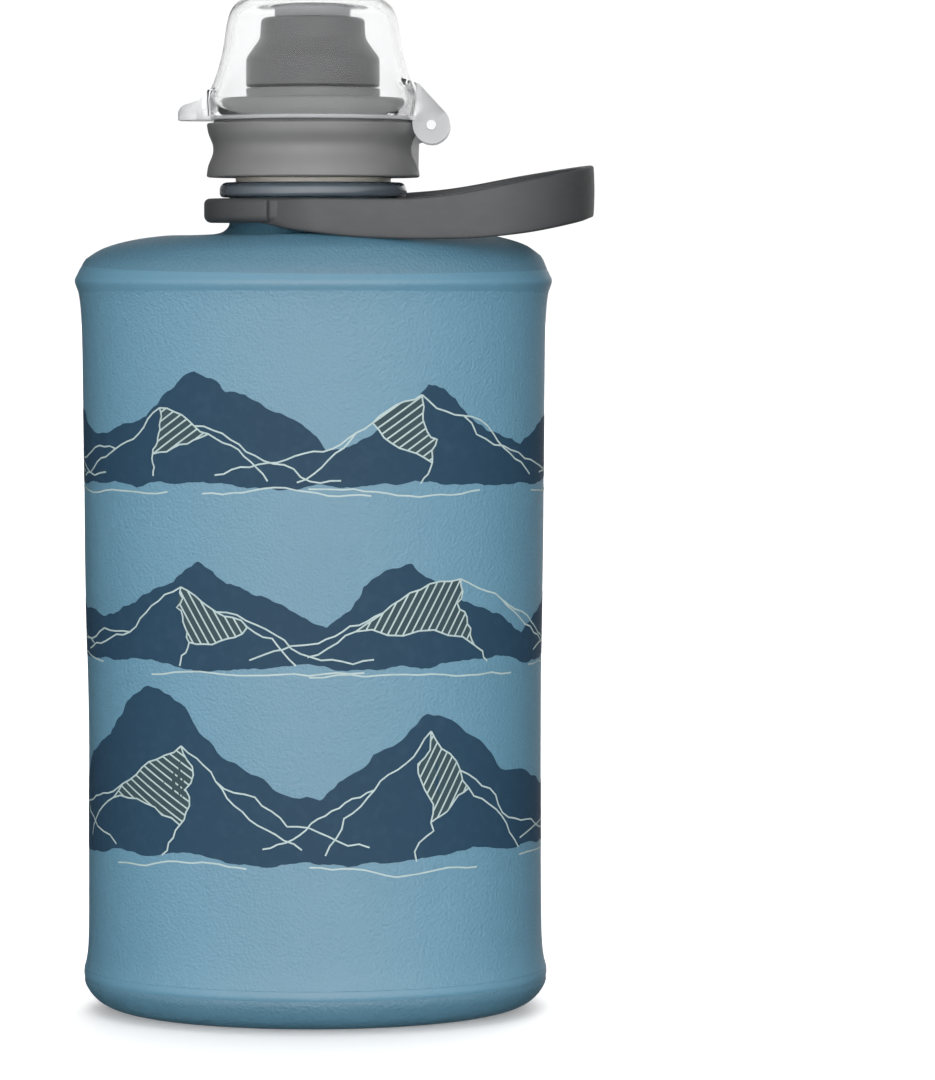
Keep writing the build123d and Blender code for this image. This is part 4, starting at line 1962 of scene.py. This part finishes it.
@dataclass
class Studio:
    """Plain pale floor, soft light and the camera."""

    eye: Spot = (0.0298, -0.780, 0.152)
    aim: Spot = (0.0298, 0.0, 0.092)
    lens: float = 134.0
    floor_size: float = 12.0
    floor_tones: tuple[Colour, Colour] = ((0.80, 0.80, 0.80), (0.83, 0.83, 0.83))
    floor_rough: float = 0.9
    floor_mottle: float = 40.0
    shadow_reach: float = 0.07
    shadow_levels: Flat = (0.22, 0.92)
    shadow_range: Flat = (0.35, 0.96)
    matt_lights: tuple[Glow, Glow] = (
        Glow((-0.03, -1.0, 0.15), 20.0, 6.7),
        Glow((0.20, 1.0, 0.25), 20.0, 5.6),
    )
    gloss_lights: tuple[Glow, Glow] = (
        Glow((-0.03, -1.0, 0.0), 2.4, 1.8),
        Glow((0.20, 1.0, 0.10), 24.0, 1.3),
    )
    horizon: Flat = (-0.3, 0.3)
    even: Flat = (0.0, 0.12)
    gloss_fade: Flat = (-0.6, -0.25)
    gloss_even: float = 0.04
    backdrop: float = 1.06

    def floor(self) -> None:
        """Lays the pale floor, which glows a little so that it stays white, its glow dimmed by
        ambient occlusion into a painted contact shadow near the bottle.
        """
        bm = bmesh.new()
        bmesh.ops.create_grid(bm, x_segments=2, y_segments=2, size=self.floor_size / 2 / MM)
        floor = finish_mesh(bm, "studio_floor", recalculate=False)
        tree = Tree("studio_white")
        near = tree.add("ShaderNodeAmbientOcclusion", samples=8)
        near.inputs["Distance"].default_value = self.shadow_reach
        open_air = near.outputs["AO"]
        # ambient occlusion dims the floor's glow near the bottle: a painted contact shadow
        tree.feed(
            base_color=tree.blend(tree.noise(self.floor_mottle), *self.floor_tones),
            emission_strength=tree.spread(open_air, *self.shadow_levels, *self.shadow_range),
        )
        tree.shader.inputs["Roughness"].default_value = self.floor_rough
        tree.shader.inputs["Emission Color"].default_value = WHITE
        dress(floor, tree.material)
        floor.visible_diffuse = False
        floor.visible_glossy = False

    def sky(self) -> None:
        """Sets the room's light: soft in front and behind, dim below, a white background.

        Matt surfaces, glossy surfaces and the view itself each get levels of their own.
        """
        room = RoomTree("studio_room")
        axes = room.nodes.new("ShaderNodeSeparateXYZ")
        room.links.new(room.way, axes.inputs[0])
        up, path = axes.outputs["Z"], room.path
        front, rear = (room.glow(light) for light in self.matt_lights)
        even = room.range(up, self.horizon, self.even)
        matt = room.sum("ADD", room.sum("ADD", front, rear), even)
        front, rear = (room.glow(light) for light in self.gloss_lights)
        above = room.range(up, self.gloss_fade, (0.0, 1.0))
        shone = room.sum("MULTIPLY", room.sum("ADD", front, rear), above)
        gloss = room.sum("ADD", shone, self.gloss_even)
        level = room.choose(path["Diffuse Depth"], gloss, matt)
        bounced = room.sum("GREATER_THAN", path["Diffuse Depth"], 0.5)
        mirrored = room.sum("GREATER_THAN", path["Glossy Depth"], 0.5)
        direct = room.sum("LESS_THAN", path["Transmission Depth"], 0.5)
        lit = room.sum("MAXIMUM", bounced, room.sum("MULTIPLY", mirrored, direct))
        white = room.nodes.new("ShaderNodeValue").outputs[0]
        white.default_value = self.backdrop
        back = room.nodes["Background"]
        room.links.new(room.choose(lit, white, level), back.inputs["Strength"])
        back.inputs["Color"].default_value = WHITE
        room.world.cycles.sampling_method = "NONE"

    def camera(self) -> None:
        """Sets the camera at the product's usual angle."""
        data = bpy.data.cameras.new("camera")
        data.lens = self.lens
        camera = bpy.data.objects.new("camera", data)
        camera.location = self.eye
        sight = Vector(self.aim) - Vector(self.eye)
        camera.rotation_euler = sight.to_track_quat("-Z", "Y").to_euler()
        bpy.context.scene.collection.objects.link(camera)
        bpy.context.scene.camera = camera

    def build(self) -> None:
        """Sets up the whole studio."""
        self.floor()
        self.sky()
        self.camera()
        bpy.context.scene.view_settings.view_transform = "Standard"
        log.info("studio")


def main() -> None:
    """Builds the bottle, piece by piece, and the studio round it."""
    logging.basicConfig(level=logging.INFO, format="%(name)s: %(message)s")
    film = FilmBody(WallShape())
    # the second finish is the darker copy of the film on the foot and the shoulder: painted shade
    film.build(FILM_BLUE.make(), FILM_PAINTED_SHADE.make(), WELD_BLUE.make())
    PrintedRidges(film).build(RIDGE_INK.make(), LINE_INK.make(), SHADE_INK.make())
    NeckPort().build(PORT_GLOSS.make(), COLLAR_NATURAL.make())
    Strap().build(STRAP_RUBBER.make())
    ScrewCap().build(CAP_SATIN.make())
    Spout().build(SPOUT_SATIN.make())
    DustCover().build(COVER_CLEAR.make())
    dress_hidden_parts()
    Studio().build()


if __name__ == "__main__":
    main()
